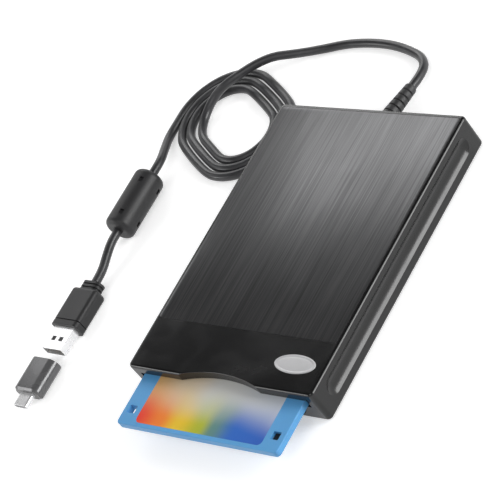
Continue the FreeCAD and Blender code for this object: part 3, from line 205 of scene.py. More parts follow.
class Effects:
    """The shader node groups that several finishes share, each built once."""

    PATCH_RANGE: Span = (0.35, 0.65)
    FINE_LINES: Place = (6500.0, 60.0, 6500.0)
    BROAD_LINES: Place = (1500.0, 18.0, 1500.0)
    FINE_SHARE = 0.45
    STREAK_RANGE: Span = (0.5, 0.95)
    SMUDGE_RANGE: Span = (0.42, 0.72)

    def __init__(self) -> None:
        """Starts with no group built."""
        self.built: dict[str, bpy.types.NodeTree] = {}

    def start(self, name: str, inputs: dict[str, float], outputs: Sequence[str]
              ) -> tuple[Canvas, bpy.types.Node, bpy.types.Node]:
        """Opens a group with named sockets.

        Args:
            name: the group's name.
            inputs: number inputs with their default values; a Vector input is always there.
            outputs: number outputs.

        Returns:
            The group's canvas, its input node and its output node.
        """
        tree = bpy.data.node_groups.new(name, "ShaderNodeTree")
        tree.interface.new_socket("Vector", in_out="INPUT", socket_type="NodeSocketVector")
        for label, value in inputs.items():
            socket = tree.interface.new_socket(label, in_out="INPUT", socket_type="NodeSocketFloat")
            socket.default_value = value
        for label in outputs:
            tree.interface.new_socket(label, in_out="OUTPUT", socket_type="NodeSocketFloat")
        self.built[name] = tree
        canvas = Canvas(tree)
        return canvas, canvas.add("NodeGroupInput"), canvas.add("NodeGroupOutput")

    def grain(self) -> bpy.types.NodeTree:
        """Moulded grain: fine noise for the height, and broad patches where hands polished it."""
        if "moulded_grain" not in self.built:
            canvas, inside, outside = self.start("moulded_grain", {"Scale": 2500.0, "Patch Scale": 45.0},
                                                 ("Height", "Patches"))
            place = inside.outputs["Vector"]
            fine = canvas.noise(place, inside.outputs["Scale"], 3.0)
            broad = canvas.noise(place, inside.outputs["Patch Scale"], 4.0)
            canvas.join(fine, outside.inputs["Height"])
            canvas.join(canvas.remap(broad, self.PATCH_RANGE), outside.inputs["Patches"])
        return self.built["moulded_grain"]

    def brushing(self) -> bpy.types.NodeTree:
        """Brushed lines along Y: noise squeezed across the lines, at a fine and a broader width."""
        if "brushed_lines" not in self.built:
            canvas, inside, outside = self.start("brushed_lines", {"Scale": 1.0}, ("Height", "Streaks"))
            layers = []
            for squeeze in (self.FINE_LINES, self.BROAD_LINES):
                lines = canvas.add("ShaderNodeMapping", Vector=inside.outputs["Vector"], Scale=squeeze)
                layers.append(canvas.noise(lines.outputs["Vector"], inside.outputs["Scale"], 2.0))
            height = canvas.maths("MULTIPLY_ADD", layers[0], self.FINE_SHARE, layers[1])
            canvas.join(height, outside.inputs["Height"])
            canvas.join(canvas.remap(height, self.STREAK_RANGE), outside.inputs["Streaks"])
        return self.built["brushed_lines"]

    def smudges(self) -> bpy.types.NodeTree:
        """Faint handling marks and dust: warped cloudy noise, cut to its brighter parts."""
        if "handling_smudges" not in self.built:
            canvas, inside, outside = self.start("handling_smudges", {"Scale": 30.0}, ("Mask",))
            clouds = canvas.noise(inside.outputs["Vector"], inside.outputs["Scale"], 5.0, Distortion=0.8)
            canvas.join(canvas.remap(clouds, self.SMUDGE_RANGE), outside.inputs["Mask"])
        return self.built["handling_smudges"]


EFFECTS = Effects()


# Finishes


def darker(colour: Colour, share: float) -> Colour:
    """A colour times a share."""
    return tuple(c * share for c in colour)


@dataclass(frozen=True)
class MouldedPlastic:
    """Moulded plastic: a grained surface with faint smudges that change its gloss."""

    colour: Colour
    roughness: float = 0.4
    grain: float = 0.25
    grain_scale: float = 2600.0
    depth: float = 0.00004
    translucency: float = 0.0
    patch_scale: float = 38.0
    patch_share: float = 0.92
    smudge_scale: float = 42.0
    smudge_dulling: float = 0.08
    light_reach: float = 0.0008

    def build(self, name: str) -> bpy.types.Material:
        """Builds the material with that name."""
        board = Board(name)
        grain = board.grain(self.grain_scale, self.patch_scale)
        board.tint(grain.outputs["Patches"], darker(self.colour, self.patch_share), self.colour)
        board.gloss(board.smudges(self.smudge_scale), self.roughness, self.roughness + self.smudge_dulling)
        board.set_surface(Subsurface_Weight=self.translucency, Subsurface_Scale=self.light_reach)
        board.bump(grain.outputs["Height"], self.depth, self.grain)
        return board.material


@dataclass(frozen=True)
class BrushedMetal:
    """Sheet metal brushed along Y, toned by its streaks."""

    dark: Colour
    light: Colour
    roughness: float = 0.34
    metallic: float = 1.0
    depth: float = 0.00003
    line_strength: float = 0.5
    anisotropy: float = 0.6
    smudge_scale: float = 24.0
    smudge_dulling: float = 0.05

    def build(self, name: str) -> bpy.types.Material:
        """Builds the material with that name."""
        board = Board(name)
        lines = board.effect(EFFECTS.brushing(), Vector=board.place(), Scale=1.0)
        board.tint(lines.outputs["Streaks"], self.dark, self.light)
        board.gloss(board.smudges(self.smudge_scale), self.roughness, self.roughness + self.smudge_dulling)
        across = board.add("ShaderNodeTangent", {"direction_type": "RADIAL", "axis": "X"}).outputs["Tangent"]
        board.set_surface(Metallic=self.metallic, Anisotropic=self.anisotropy, Tangent=across)
        board.bump(lines.outputs["Height"], self.depth, self.line_strength)
        return board.material


@dataclass(frozen=True)
class PlainMetal:
    """Rolled, ground or plated metal with a light tarnish."""

    colour: Colour
    roughness: float = 0.25
    tarnish: float = 0.85
    scale: float = 900.0
    metallic: float = 1.0
    patch_scale: float = 90.0
    smudge_scale: float = 120.0
    smudge_dulling: float = 0.12
    depth: float = 0.00001
    grain: float = 0.25

    def build(self, name: str) -> bpy.types.Material:
        """Builds the material with that name."""
        board = Board(name)
        grain = board.grain(self.scale, self.patch_scale)
        board.tint(grain.outputs["Patches"], darker(self.colour, self.tarnish), self.colour)
        board.gloss(board.smudges(self.smudge_scale), self.roughness, self.roughness + self.smudge_dulling)
        board.set_surface(Metallic=self.metallic)
        board.bump(grain.outputs["Height"], self.depth, self.grain)
        return board.material


@dataclass(frozen=True)
class SoftRubber:
    """Matt rubber or soft cord jacket, slightly paler where it is dusty."""

    colour: Colour
    dusty: Colour
    roughness: float = 0.55
    sheen: float = 0.0
    sheen_roughness: float = 0.4
    depth: float = 0.00003
    grain: float = 0.3
    grain_scale: float = 1800.0
    patch_scale: float = 70.0
    patch_gloss: float = 0.06
    dust_scale: float = 85.0

    def build(self, name: str) -> bpy.types.Material:
        """Builds the material with that name."""
        board = Board(name)
        grain = board.grain(self.grain_scale, self.patch_scale)
        board.tint(board.smudges(self.dust_scale), self.colour, self.dusty)
        board.gloss(grain.outputs["Patches"], self.roughness - self.patch_gloss,
                    self.roughness + self.patch_gloss)
        board.set_surface(Sheen_Weight=self.sheen, Sheen_Roughness=self.sheen_roughness)
        board.bump(grain.outputs["Height"], self.depth, self.grain)
        return board.material


@dataclass(frozen=True)
class CircuitBoard:
    """Green solder mask over copper tracks: a brick pattern stands for the tracks."""

    mask: Colour = (0.012, 0.09, 0.03)
    track: Colour = (0.03, 0.17, 0.05)
    shade: float = 0.8
    track_scale: float = 180.0
    track_width: float = 0.012
    track_height: float = 0.00003
    track_strength: float = 0.4
    smudge_scale: float = 60.0
    roughness: Span = (0.25, 0.4)

    def build(self, name: str) -> bpy.types.Material:
        """Builds the material with that name."""
        board = Board(name)
        tracks = board.add("ShaderNodeTexBrick", Vector=board.place(), Scale=self.track_scale,
                           Mortar_Size=self.track_width, Mortar=(*self.track, 1.0),
                           Color1=(*self.mask, 1.0), Color2=(*darker(self.mask, self.shade), 1.0))
        board.set_surface(Base_Color=tracks.outputs["Color"])
        board.gloss(board.smudges(self.smudge_scale), *self.roughness)
        board.bump(tracks.outputs["Fac"], self.track_height, self.track_strength)
        return board.material


@dataclass(frozen=True)
class PrintedLabel:
    """Satin paper printed with one soft gradient, warm to cool from left to right and pale towards the back.

    The place on the label drifts by a cloud, so the colours meet in soft uneven bands.
    """

    front: tuple[tuple[float, Colour], ...] = ((0.0, (0.80, 0.035, 0.01)), (0.16, (0.85, 0.20, 0.01)),
                                               (0.32, (0.80, 0.52, 0.01)), (0.50, (0.42, 0.46, 0.02)),
                                               (0.62, (0.10, 0.24, 0.22)), (0.78, (0.01, 0.12, 0.52)),
                                               (1.0, (0.01, 0.10, 0.48)))
    back: tuple[tuple[float, Colour], ...] = ((0.0, (0.66, 0.40, 0.16)), (0.25, (0.66, 0.54, 0.38)),
                                              (0.5, (0.60, 0.60, 0.58)), (1.0, (0.56, 0.60, 0.66)))
    fade: Span = (0.06, 0.40)
    cloud_scale: float = 2.4
    drift: Place = (0.16, 0.22, 0.0)
    grain_scale: float = 3000.0
    patch_scale: float = 60.0
    roughness: Span = (0.36, 0.46)
    depth: float = 0.00001
    grain: float = 0.2

    def build(self, name: str) -> bpy.types.Material:
        """Builds the material with that name: two ramps along u, mixed by a smooth step along v."""
        board = Board(name)
        uv = board.add("ShaderNodeTexCoord").outputs["UV"]
        cloud = board.add("ShaderNodeTexNoise", Vector=uv, Scale=self.cloud_scale, Detail=1.0)
        moved = board.add("ShaderNodeVectorMath", {"operation": "MULTIPLY_ADD"},
                          (cloud.outputs["Color"], self.drift, uv))
        split = board.add("ShaderNodeSeparateXYZ", Vector=moved.outputs["Vector"])
        shift_u, shift_v = (share / 2 for share in self.drift[:2])
        along = board.remap(split.outputs["X"], (shift_u, 1 + shift_u))
        back = board.remap(split.outputs["Y"], (self.fade[0] + shift_v, self.fade[1] + shift_v), smooth=True)
        rows = [board.ramp(along, stops, "EASE") for stops in (self.front, self.back)]
        board.set_surface(Base_Color=board.mixed(back, *rows))
        grain = board.grain(self.grain_scale, self.patch_scale)
        board.gloss(grain.outputs["Patches"], *self.roughness)
        board.bump(grain.outputs["Height"], self.depth, self.grain)
        return board.material


@dataclass(frozen=True)
class ClearLens:
    """The small green-tinted lens of the indicator, unlit."""

    colour: Colour = (0.25, 0.6, 0.25)
    shade: float = 0.8
    grain_scale: float = 900.0
    patch_scale: float = 300.0
    roughness: Span = (0.08, 0.14)
    milkiness: float = 0.5
    light_reach: float = 0.001

    def build(self, name: str) -> bpy.types.Material:
        """Builds the material with that name."""
        board = Board(name)
        grain = board.grain(self.grain_scale, self.patch_scale)
        board.tint(grain.outputs["Patches"], darker(self.colour, self.shade), self.colour)
        board.gloss(grain.outputs["Patches"], *self.roughness)
        board.set_surface(Subsurface_Weight=self.milkiness, Subsurface_Scale=self.light_reach)
        return board.material


FINISHES: dict[str, object] = {
    "housing_plastic": MouldedPlastic((0.004, 0.004, 0.0043), 0.20, 0.08, 3200.0, 0.00002),
    "brushed_plate": BrushedMetal((0.068, 0.068, 0.070), (0.125, 0.125, 0.128), 0.29, 0.9),
    "badge_metal": PlainMetal((0.58, 0.58, 0.59), 0.38, 0.96, 1500.0, 0.25),
    "foot_rubber": SoftRubber((0.02, 0.02, 0.02), (0.05, 0.05, 0.05), 0.75),
    "screw_steel": PlainMetal((0.35, 0.35, 0.36), 0.3, 0.8),
    "lens": ClearLens(),
    "relief_rubber": SoftRubber((0.018, 0.018, 0.019), (0.035, 0.035, 0.037), 0.48),
    "chassis_steel": PlainMetal((0.62, 0.62, 0.60), 0.32, 0.86),
    "circuit_board": CircuitBoard(),
    "bronze": PlainMetal((0.55, 0.33, 0.16), 0.35, 0.8),
    "copper_coils": PlainMetal((0.72, 0.30, 0.14), 0.3, 0.7, 2500.0),
    "motor_metal": PlainMetal((0.55, 0.55, 0.56), 0.28, 0.88),
    "ground_steel": PlainMetal((0.75, 0.75, 0.76), 0.14, 0.92),
    "chip_black": MouldedPlastic((0.015, 0.015, 0.016), 0.5, 0.5, 3500.0),
    "white_plastic": MouldedPlastic((0.78, 0.77, 0.72), 0.4),
    "inner_black": MouldedPlastic((0.02, 0.02, 0.021), 0.5, 0.4),
    "head_ceramic": MouldedPlastic((0.62, 0.60, 0.55), 0.2, 0.1),
    "button_plastic": MouldedPlastic((0.014, 0.014, 0.015), 0.3, 0.2),
    "disk_plastic": MouldedPlastic((0.10, 0.36, 0.70), 0.42, 0.35, 3000.0, 0.00004, 0.12),
    "label_paper": PrintedLabel(),
    "liner_fabric": SoftRubber((0.70, 0.70, 0.68), (0.78, 0.78, 0.76), 0.9, 0.3),
    "media_film": MouldedPlastic((0.045, 0.032, 0.026), 0.12, 0.02, 3000.0, 0.00001),
    "slider_black": MouldedPlastic((0.013, 0.013, 0.014), 0.4, 0.3),
    "cord_jacket": SoftRubber((0.022, 0.022, 0.024), (0.040, 0.040, 0.043), 0.36, 0.15),
    "overmould_black": MouldedPlastic((0.016, 0.016, 0.017), 0.45, 0.45, 2200.0, 0.00005),
    "ferrite": MouldedPlastic((0.05, 0.05, 0.052), 0.5, 0.4, 900.0),
    "contact_gold": PlainMetal((0.95, 0.68, 0.26), 0.18, 0.92),
    "adapter_metal": PlainMetal((0.14, 0.14, 0.143), 0.24, 0.94, 900.0, 0.4),
    "adapter_plastic": MouldedPlastic((0.016, 0.016, 0.017), 0.4, 0.3),
    "connector_steel": PlainMetal((0.92, 0.92, 0.93), 0.24, 0.99, 1200.0, 0.6),
}

# Nodes whose finish differs from their slot's
OWN_FINISH = {"plug_shell": "connector_steel", "type_c_shell": "connector_steel",
              "plug_tongue": "inner_black"}


class Wardrobe:
    """Builds each finish once and puts it on pieces."""

    def __init__(self) -> None:
        """Starts with nothing built."""
        self.built: dict[str, bpy.types.Material] = {}

    def finish(self, slot: str) -> bpy.types.Material:
        """Gives the material of one slot."""
        if slot not in self.built:
            self.built[slot] = FINISHES[slot].build(slot + "_finish")
        return self.built[slot]

    def dress(self, obj: bpy.types.Object, slot: str) -> None:
        """Puts a slot's finish on a piece in place of what it had."""
        obj.data.materials.clear()
        obj.data.materials.append(self.finish(slot))


WARDROBE = Wardrobe()


def slot_of_node(name: str) -> str:
    """The record's material slot that a frame node came with."""
    slots = {entry["slot"] for entry in frame["record"]["materials"]}
    for material in frame["nodes"][name].data.materials:
        if material and material.name.split(".")[0] in slots:
            return material.name.split(".")[0]
    raise KeyError(name + " has no slot")


# Mesh making


class Section(Enum):
    """The outline of a lofted piece's cross sections."""

    ROUNDED = "rounded rectangle"
    ELLIPSE = "ellipse"


def outline(section: Section, half_w: np.ndarray, half_h: np.ndarray, corner: np.ndarray,
            around: int) -> np.ndarray:
    """Cross sections of given half sizes, as points in their own plane.

    A rounded rectangle is four quarter circles of the corner's radius whose centres stand in from the sides
    by that radius; an ellipse is the half sizes times the cosine and the sine of the angle.

    Args:
        section: which outline.
        half_w: half widths, one per section.
        half_h: half heights.
        corner: corner radii.
        around: points round the outline, a multiple of four.

    Returns:
        An array of sections by points by two.
    """
    if section is Section.ELLIPSE:
        angle = np.linspace(0, 2 * np.pi, around, endpoint=False)
        return np.stack([half_w[:, None] * np.cos(angle), half_h[:, None] * np.sin(angle)], -1)
    quarter = np.linspace(0, np.pi / 2, around // 4)
    angle = np.concatenate([quarter + k * np.pi / 2 for k in range(4)])
    side_x = np.repeat([1.0, -1.0, -1.0, 1.0], around // 4)
    side_y = np.repeat([1.0, 1.0, -1.0, -1.0], around // 4)
    r = np.minimum(corner, np.minimum(half_w, half_h))[:, None]
    x = side_x * (half_w[:, None] - r) + r * np.cos(angle)
    y = side_y * (half_h[:, None] - r) + r * np.sin(angle)
    return np.stack([x, y], -1)


def add_object(name: str, data: bpy.types.ID) -> bpy.types.Object:
    """Links a new object with that data to the scene."""
    obj = bpy.data.objects.new(name, data)
    bpy.context.scene.collection.objects.link(obj)
    return obj


def mesh_piece(name: str, points: np.ndarray, faces: Sequence[Sequence[int]], sharp: float = 35.0
               ) -> bpy.types.Object:
    """Makes a mesh object whose faces point outwards.

    Args:
        name: the piece's name.
        points: vertices in metres, in the part's own frame.
        faces: vertex numbers of each face.
        sharp: the angle in degrees past which an edge stays sharp.

    Returns:
        The new object, linked to the scene.
    """
    mesh = bpy.data.meshes.new(name)
    mesh.from_pydata(points.reshape(-1, 3).tolist(), [], [list(f) for f in faces])
    work = bmesh.new()
    work.from_mesh(mesh)
    bmesh.ops.remove_doubles(work, verts=work.verts, dist=NEW_MERGE)
    bmesh.ops.recalc_face_normals(work, faces=work.faces)
    work.to_mesh(mesh)
    work.free()
    mesh.shade_smooth()
    mesh.set_sharp_from_angle(angle=math.radians(sharp))
    return add_object(name, mesh)


@dataclass(frozen=True)
class Loft:
    """A closed piece lofted through cross sections along a straight axis, in millimetres.

    Each station is (distance along the axis, half width, half height, corner radius).
    """

    name: str
    start: Place
    along: Place
    across: Place
    stations: Sequence[tuple[float, float, float, float]]
    section: Section = Section.ROUNDED
    around: int = 64
    sharp: float = 35.0

    def points(self) -> np.ndarray:
        """Start + axis times the station + width direction times x + height direction times y."""
        rows = np.array(self.stations, float)
        axis = np.array(self.along, float) / np.linalg.norm(self.along)
        wide = np.array(self.across, float) - axis * np.dot(self.across, axis)
        wide = wide / np.linalg.norm(wide)
        high = np.cross(axis, wide)
        flat = outline(self.section, rows[:, 1], rows[:, 2], rows[:, 3], self.around)
        place = np.array(self.start) + rows[:, 0, None] * axis
        return place[:, None] + flat[..., :1] * wide + flat[..., 1:] * high

    def build(self) -> bpy.types.Object:
        """Makes the mesh: quads between neighbouring sections, and one face at each end."""
        points = self.points() * MM
        rows, count = points.shape[:2]
        grid = np.arange(rows * count).reshape(rows, count)
        ahead = np.roll(grid, -1, axis=1)
        quads = np.stack([grid[:-1], ahead[:-1], ahead[1:], grid[1:]], -1).reshape(-1, 4).tolist()
        ends = [grid[0].tolist()[::-1], grid[-1].tolist()]
        return mesh_piece(self.name, points, quads + ends, self.sharp)


@dataclass(frozen=True)
class NodeBox:
    """A frame node's box in millimetres."""

    low: np.ndarray
    high: np.ndarray

    @classmethod
    def of(cls, node: str) -> "NodeBox":
        """Reads the box of one node."""
        low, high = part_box(node)
        return cls(np.array(low) / MM, np.array(high) / MM)

    @property
    def half(self) -> np.ndarray:
        """Half the size along each axis."""
        return (self.high - self.low) / 2

    @property
    def foot(self) -> Place:
        """The middle of the underside."""
        middle = (self.low + self.high) / 2
        return (middle[0], middle[1], self.low[2])

    @property
    def thick(self) -> float:
        """The height."""
        return self.high[2] - self.low[2]


def smooth_copy(node: str, name: str, sharp: float = 32.0) -> bpy.types.Object:
    """A frame node's mesh with its corners merged and its curved faces smooth.

    The imported normals are taken off first, because they no longer fit the merged corners.

    Args:
        node: the frame node.
        name: the new piece's name.
        sharp: the angle in degrees past which an edge stays sharp.

    Returns:
        The new piece, which stands for the node.
    """
    mesh = frame["nodes"][node].data.copy()
    mesh.name = name
    for layer in [a.name for a in mesh.attributes if "normal" in a.name]:
        mesh.attributes.remove(mesh.attributes[layer])
    work = bmesh.new()
    work.from_mesh(mesh)
    bmesh.ops.remove_doubles(work, verts=work.verts, dist=COPY_MERGE)
    work.to_mesh(mesh)
    work.free()
    mesh.shade_smooth()
    mesh.set_sharp_from_angle(angle=math.radians(sharp))
    obj = add_object(name, mesh)
    flat = obj.modifiers.new("flat_faces", "WEIGHTED_NORMAL")
    flat.keep_sharp = True
    flat.mode = "FACE_AREA_WITH_ANGLE"
    flat.weight = 50
    return obj


def settle(obj: bpy.types.Object, slot: str, body: str, nodes: Sequence[str] = ()) -> bpy.types.Object:
    """Dresses a piece, rides it on its body and hides the nodes it stands for.

    Args:
        obj: the piece, already in place.
        slot: the record's material slot.
        body: the body that carries it.
        nodes: frame nodes that it replaces.

    Returns:
        The same piece.
    """
    WARDROBE.dress(obj, OWN_FINISH.get(nodes[0] if nodes else "", slot))
    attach(obj, body)
    if nodes:
        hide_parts(*nodes)
    log.info("%s: %d faces on %s", obj.name, len(getattr(obj.data, "polygons", [])), body)
    return obj


def settle_copy(node: str, body: str) -> bpy.types.Object:
    """Replaces a node by a smooth copy in the node's own slot."""
    return settle(smooth_copy(node, node + "_fitted"), slot_of_node(node), body, (node,))


# Sub-assemblies


@dataclass
class SignalCord:
    """The thin signal cord: lead, coil and tail on one spline, through the ferrite bead to the plug."""

    diameter: float = 4.2
    length_m: float = 0.749
    floor: float = -0.8
    coil_x: float = -89.5
    coil_y: float = 68.3
    coil_turn: float = -30.5
    half_straight: float = 9.0
    first_offset: float = 14.5
    pitch: float = 4.7
    half_turns: int = 5
    points_per_bend: int = 9
    steps_between_points: int = 8
    section_steps: int = 6

    def lead(self) -> list[Place]:
        """The route's points from the relief over the coil and into it."""
        return [(1.855, 94.136, 4.150), (2.648, 104.045, 3.060), (-3.2, 112.6, 1.5), (-13.5, 116.8, 1.3),
                (-25.5, 119.6, 1.3), (-38.5, 120.2, 1.3), (-51.5, 119.0, 1.3), (-63.5, 115.4, 1.3),
                (-74.5, 109.6, 4.3), (-85.25, 102.47, 9.7), (-99.25, 87.47, 9.7), (-107.39, 81.98, 5.7),
                (-110.23, 72.0, 1.9), (-105.99, 61.19, 1.3), (-95.65, 55.10, 1.3)]

    def on_floor(self, along: np.ndarray, across: np.ndarray) -> np.ndarray:
        """Points on the floor plane, given in the coil's own directions."""
        a = math.radians(self.coil_turn)
        x = self.coil_x + along * math.cos(a) - across * math.sin(a)
        y = self.coil_y + along * math.sin(a) + across * math.cos(a)
        return np.stack([x, y, np.full_like(x, self.floor + self.diameter / 2)], -1)

    def coil(self) -> list[list[float]]:
        """The coil's points: each bend is a half circle about a centre that lies half a step off the middle,
        with radius half the sum of the offsets before and after it; control points stand out by one over
        the cosine of half their spacing, so that the spline follows the circle."""
        rows = []
        offset = self.first_offset
        side = -1
        for number in range(self.half_turns + 1):
            following = offset + self.pitch / 2
            r = (offset + following) / 2
            middle = side * (offset - following) / 2
            last = number == self.half_turns
            sweep = math.radians(90 - self.coil_turn) if last else math.pi
            step = sweep / self.points_per_bend
            angle = (np.arange(self.points_per_bend) + 0.5) * step
            out = r / math.cos(step / 2)
            along = -side * self.half_straight - side * out * np.sin(angle)
            across = middle + side * out * np.cos(angle)
            rows.append(self.on_floor(along, across))
            offset = following
            side = -side
        return np.concatenate(rows).tolist()

    def tail(self) -> list[Place]:
        """The route's points from the coil through the ferrite bead to the plug."""
        return [(-125.28, 67.66, 1.3), (-125.28, 59.26, 1.3), (-120.4, 50.4, 3.9), (-115.5, 42.0, 6.4),
                (-115.5, 33.0, 6.4), (-115.5, 17.0, 6.4), (-115.5, 1.5, 6.4), (-115.5, -5.0, 6.4),
                (-114.9, -12.3, 4.8), (-114.0, -19.2, 3.2), (-114.0, -26.0, 3.2)]

    def build(self) -> bpy.types.Object:
        """Makes the spline, with order 3 set after its points, and its round section."""
        route = self.lead() + self.coil() + self.tail()
        curve = bpy.data.curves.new("signal_cord", "CURVE")
        curve.dimensions = "3D"
        spline = curve.splines.new("NURBS")
        spline.points.add(len(route) - 1)
        weights = np.ones((len(route), 1))
        spline.points.foreach_set("co", np.hstack([np.array(route) * MM, weights]).ravel())
        spline.order_u = 3
        spline.use_endpoint_u = True
        spline.resolution_u = self.steps_between_points
        curve.bevel_depth = self.diameter / 2 * MM
        curve.bevel_resolution = self.section_steps
        curve.use_fill_caps = True
        obj = add_object("signal_cord", curve)
        return settle(obj, "cord_jacket", "housing", ("cord_lead", "cord_coil", "cord_tail", "cord_end"))


@dataclass
class StrainRelief:
    """The soft relief at the cord's exit: a ribbed tapered sleeve behind a collar.

    A rib's step is one wave of phase, and the sleeve dips in part of it.
    """

    start: Place = (0.0, 70.95, 6.7)
    along: Place = (0.08, 1.0, -0.11)
    length: float = 23.4
    radii: Span = (3.9, 2.75)
    ribs: int = 6
    rows: int = 150
    dip: float = 0.6
    dip_phase: Span = (0.5, 0.8)
    first_phase: float = 0.25
    plain_ends: Span = (0.6, 0.4)
    tip_share: float = 0.97
    tip_rounding: float = 0.5
    collar_back: float = 68.0
    collar_profile: tuple[Span, ...] = ((0, 5.0), (1.19, 5.0), (1.2, 4.2), (3.45, 4.2), (3.75, 4.1),
                                        (3.85, 3.8))
    around: int = 48

    def sleeve_radius(self, distance: np.ndarray) -> np.ndarray:
        """The radius falls evenly along the sleeve, dips between ribs by a raised cosine and rounds off at
        the tip by a square."""
        share = distance / self.length
        first, last = self.radii
        radius = first + (last - first) * share
        step = self.length / (self.ribs + 1)
        phase = (distance / step - self.first_phase) % 1.0
        begin, end = self.dip_phase
        wave = 0.5 - 0.5 * np.cos((phase - begin) / (end - begin) * 2 * np.pi)
        dips = np.where((phase > begin) & (phase < end), wave, 0)
        ribbed = (distance > self.plain_ends[0] * step) & (distance < self.length - self.plain_ends[1] * step)
        rounding = np.clip((share - self.tip_share) / (1 - self.tip_share), 0, 1) ** 2
        return radius - self.dip * dips * ribbed - self.tip_rounding * rounding

    def build(self) -> None:
        """Makes the collar and the sleeve."""
        collar = Loft("relief_collar", (0, self.collar_back, self.start[2]), (0, 1, 0), (1, 0, 0),
                      [(at, r, r, 0) for at, r in self.collar_profile], Section.ELLIPSE, self.around, 40)
        settle(collar.build(), "relief_rubber", "housing")
        distance = np.linspace(0, self.length, self.rows)
        radius = self.sleeve_radius(distance)
        sleeve = Loft("relief_sleeve", self.start, self.along, (1, 0, 0),
                      np.stack([distance, radius, radius, 0 * radius], 1), Section.ELLIPSE, self.around, 60)
        settle(sleeve.build(), "relief_rubber", "housing", ("strain_relief",))


@dataclass
class Housing:
    """Covers, brushed plate, badge, feet, screws and lens."""

    cover_sharp: float = 25.0
    plate_corner: float = 1.5
    plate_bevel: tuple[Span, ...] = ((0.14, 0.0), (0.04, 0.05), (0.0, 0.16))
    badge_rim: float = 0.3
    badge_rim_inset: float = 0.42
    badge_rim_width: float = 0.8
    badge_rim_turn: tuple[float, float, int] = (0.15, 1.0, 6)
    badge_dish_edge: float = 1.0
    badge_dish: float = 0.12
    badge_dish_rings: tuple[float, ...] = (0.92, 0.8, 0.6, 0.35, 0.1)
    badge_around: int = 96
    badge_sharp: float = 50.0

    def covers(self) -> None:
        """The two moulded covers, with their rounded edges smooth."""
        for node in ("top_cover", "bottom_cover"):
            copy = smooth_copy(node, node + "_moulding", self.cover_sharp)
            settle(copy, "housing_plastic", "housing", (node,))

    def plate(self) -> None:
        """The brushed plate: a thin slab whose top edge turns down in a fine bevel."""
        box = NodeBox.of("brushed_top_plate")
        x, y = box.half[:2]
        r = self.plate_corner
        stations = [(0, x, y, r)] + [(box.thick - below, x - inset, y - inset, r)
                                     for below, inset in self.plate_bevel]
        slab = Loft("brushed_plate_sheet", box.foot, (0, 0, 1), (1, 0, 0), stations)
        settle(slab.build(), "brushed_plate", "housing", ("brushed_top_plate",))

    def badge(self) -> None:
        """The bare oval badge: a rim rounded by a quarter ellipse, round a low dome of elliptical section."""
        box = NodeBox.of("badge_plate")
        x, y = box.half[:2]
        rise = box.thick
        shoulder = rise - self.badge_rim
        stations = [(0, x, y, 0), (shoulder, x, y, 0)]
        for t in np.linspace(*self.badge_rim_turn) * math.pi / 2:
            inset = self.badge_rim_inset * (1 - math.cos(t))
            stations.append((shoulder + self.badge_rim * math.sin(t), x - inset, y - inset, 0))
        stations.append((rise, x - self.badge_rim_width, y - self.badge_rim_width, 0))
        x, y = x - self.badge_dish_edge, y - self.badge_dish_edge
        stations.append((rise - self.badge_dish, x, y, 0))
        for k in self.badge_dish_rings:
            lift = self.badge_dish * math.sqrt(1 - k * k)
            stations.append((rise - self.badge_dish + lift, x * k, y * k, 0))
        dome = Loft("badge_dome", box.foot, (0, 0, 1), (1, 0, 0), stations, Section.ELLIPSE,
                    self.badge_around, self.badge_sharp)
        settle(dome.build(), "badge_metal", "housing", ("badge_plate",))

    def build(self) -> None:
        """Makes everything on the housing except the cord's own pieces."""
        self.covers()
        self.plate()
        self.badge()
        for node in ("rubber_feet", "housing_screws", "led_lens"):
            settle_copy(node, "housing")
        StrainRelief().build()


@dataclass
class FloppyDisk:
    """The disk's shells, its printed label, and its smaller pieces."""

    label_edge: float = 0.06
    label_corner: float = 2.4
    label_wall: float = 0.6

    def shells(self) -> None:
        """The two shells, smoothed."""
        for node in ("disk_shell_front", "disk_shell_back"):
            settle(smooth_copy(node, node + "_moulding"), "disk_plastic", "disk", (node,))

    def label(self) -> None:
        """The label: a thin rounded sheet with a UV map that runs from 0 to 1 over it."""
        box = NodeBox.of("disk_label")
        x, y = box.half[:2]
        r = self.label_corner
        stations = [(0, x, y, r), (box.thick * self.label_wall, x, y, r),
                    (box.thick, x - self.label_edge, y - self.label_edge, r)]
        obj = Loft("printed_label", box.foot, (0, 0, 1), (1, 0, 0), stations).build()
        mesh = obj.data
        corners = np.empty(len(mesh.loops), int)
        mesh.loops.foreach_get("vertex_index", corners)
        places = np.empty(len(mesh.vertices) * 3)
        mesh.vertices.foreach_get("co", places)
        share = (places.reshape(-1, 3)[:, :2] / MM - box.low[:2]) / (box.high - box.low)[:2]
        layer = mesh.uv_layers.new(name="label_uv")
        layer.data.foreach_set("uv", share[corners].astype(np.float32).ravel())
        settle(obj, "label_paper", "disk", ("disk_label",))

    def build(self) -> None:
        """Makes the disk's own pieces."""
        self.shells()
        self.label()
        for node, body in (("disk_shutter", "disk_shutter"), ("disk_hub", "media"),
                           ("write_protect_slider", "write_protect_slider")):
            settle_copy(node, body)


@dataclass
class PlugAndAdapter:
    """The ferrite bead, the plug and the adapter in line with it."""

    on_cord: tuple[str, ...] = ("ferrite_overmould", "plug_overmould", "plug_shell")
    on_adapter: tuple[str, ...] = ("adapter_body", "type_c_shell")
    kept: tuple[str, ...] = ("ferrite_core", "plug_tongue", "plug_contacts", "adapter_socket",
                             "adapter_tongue")

    def build(self) -> list[bpy.types.Object]:
        """Makes the smoothed pieces; gives all that the cord carries."""
        return ([settle_copy(node, "housing") for node in self.on_cord]
                + [settle_copy(node, "adapter") for node in self.on_adapter]
                + [frame["nodes"][node] for node in self.kept])


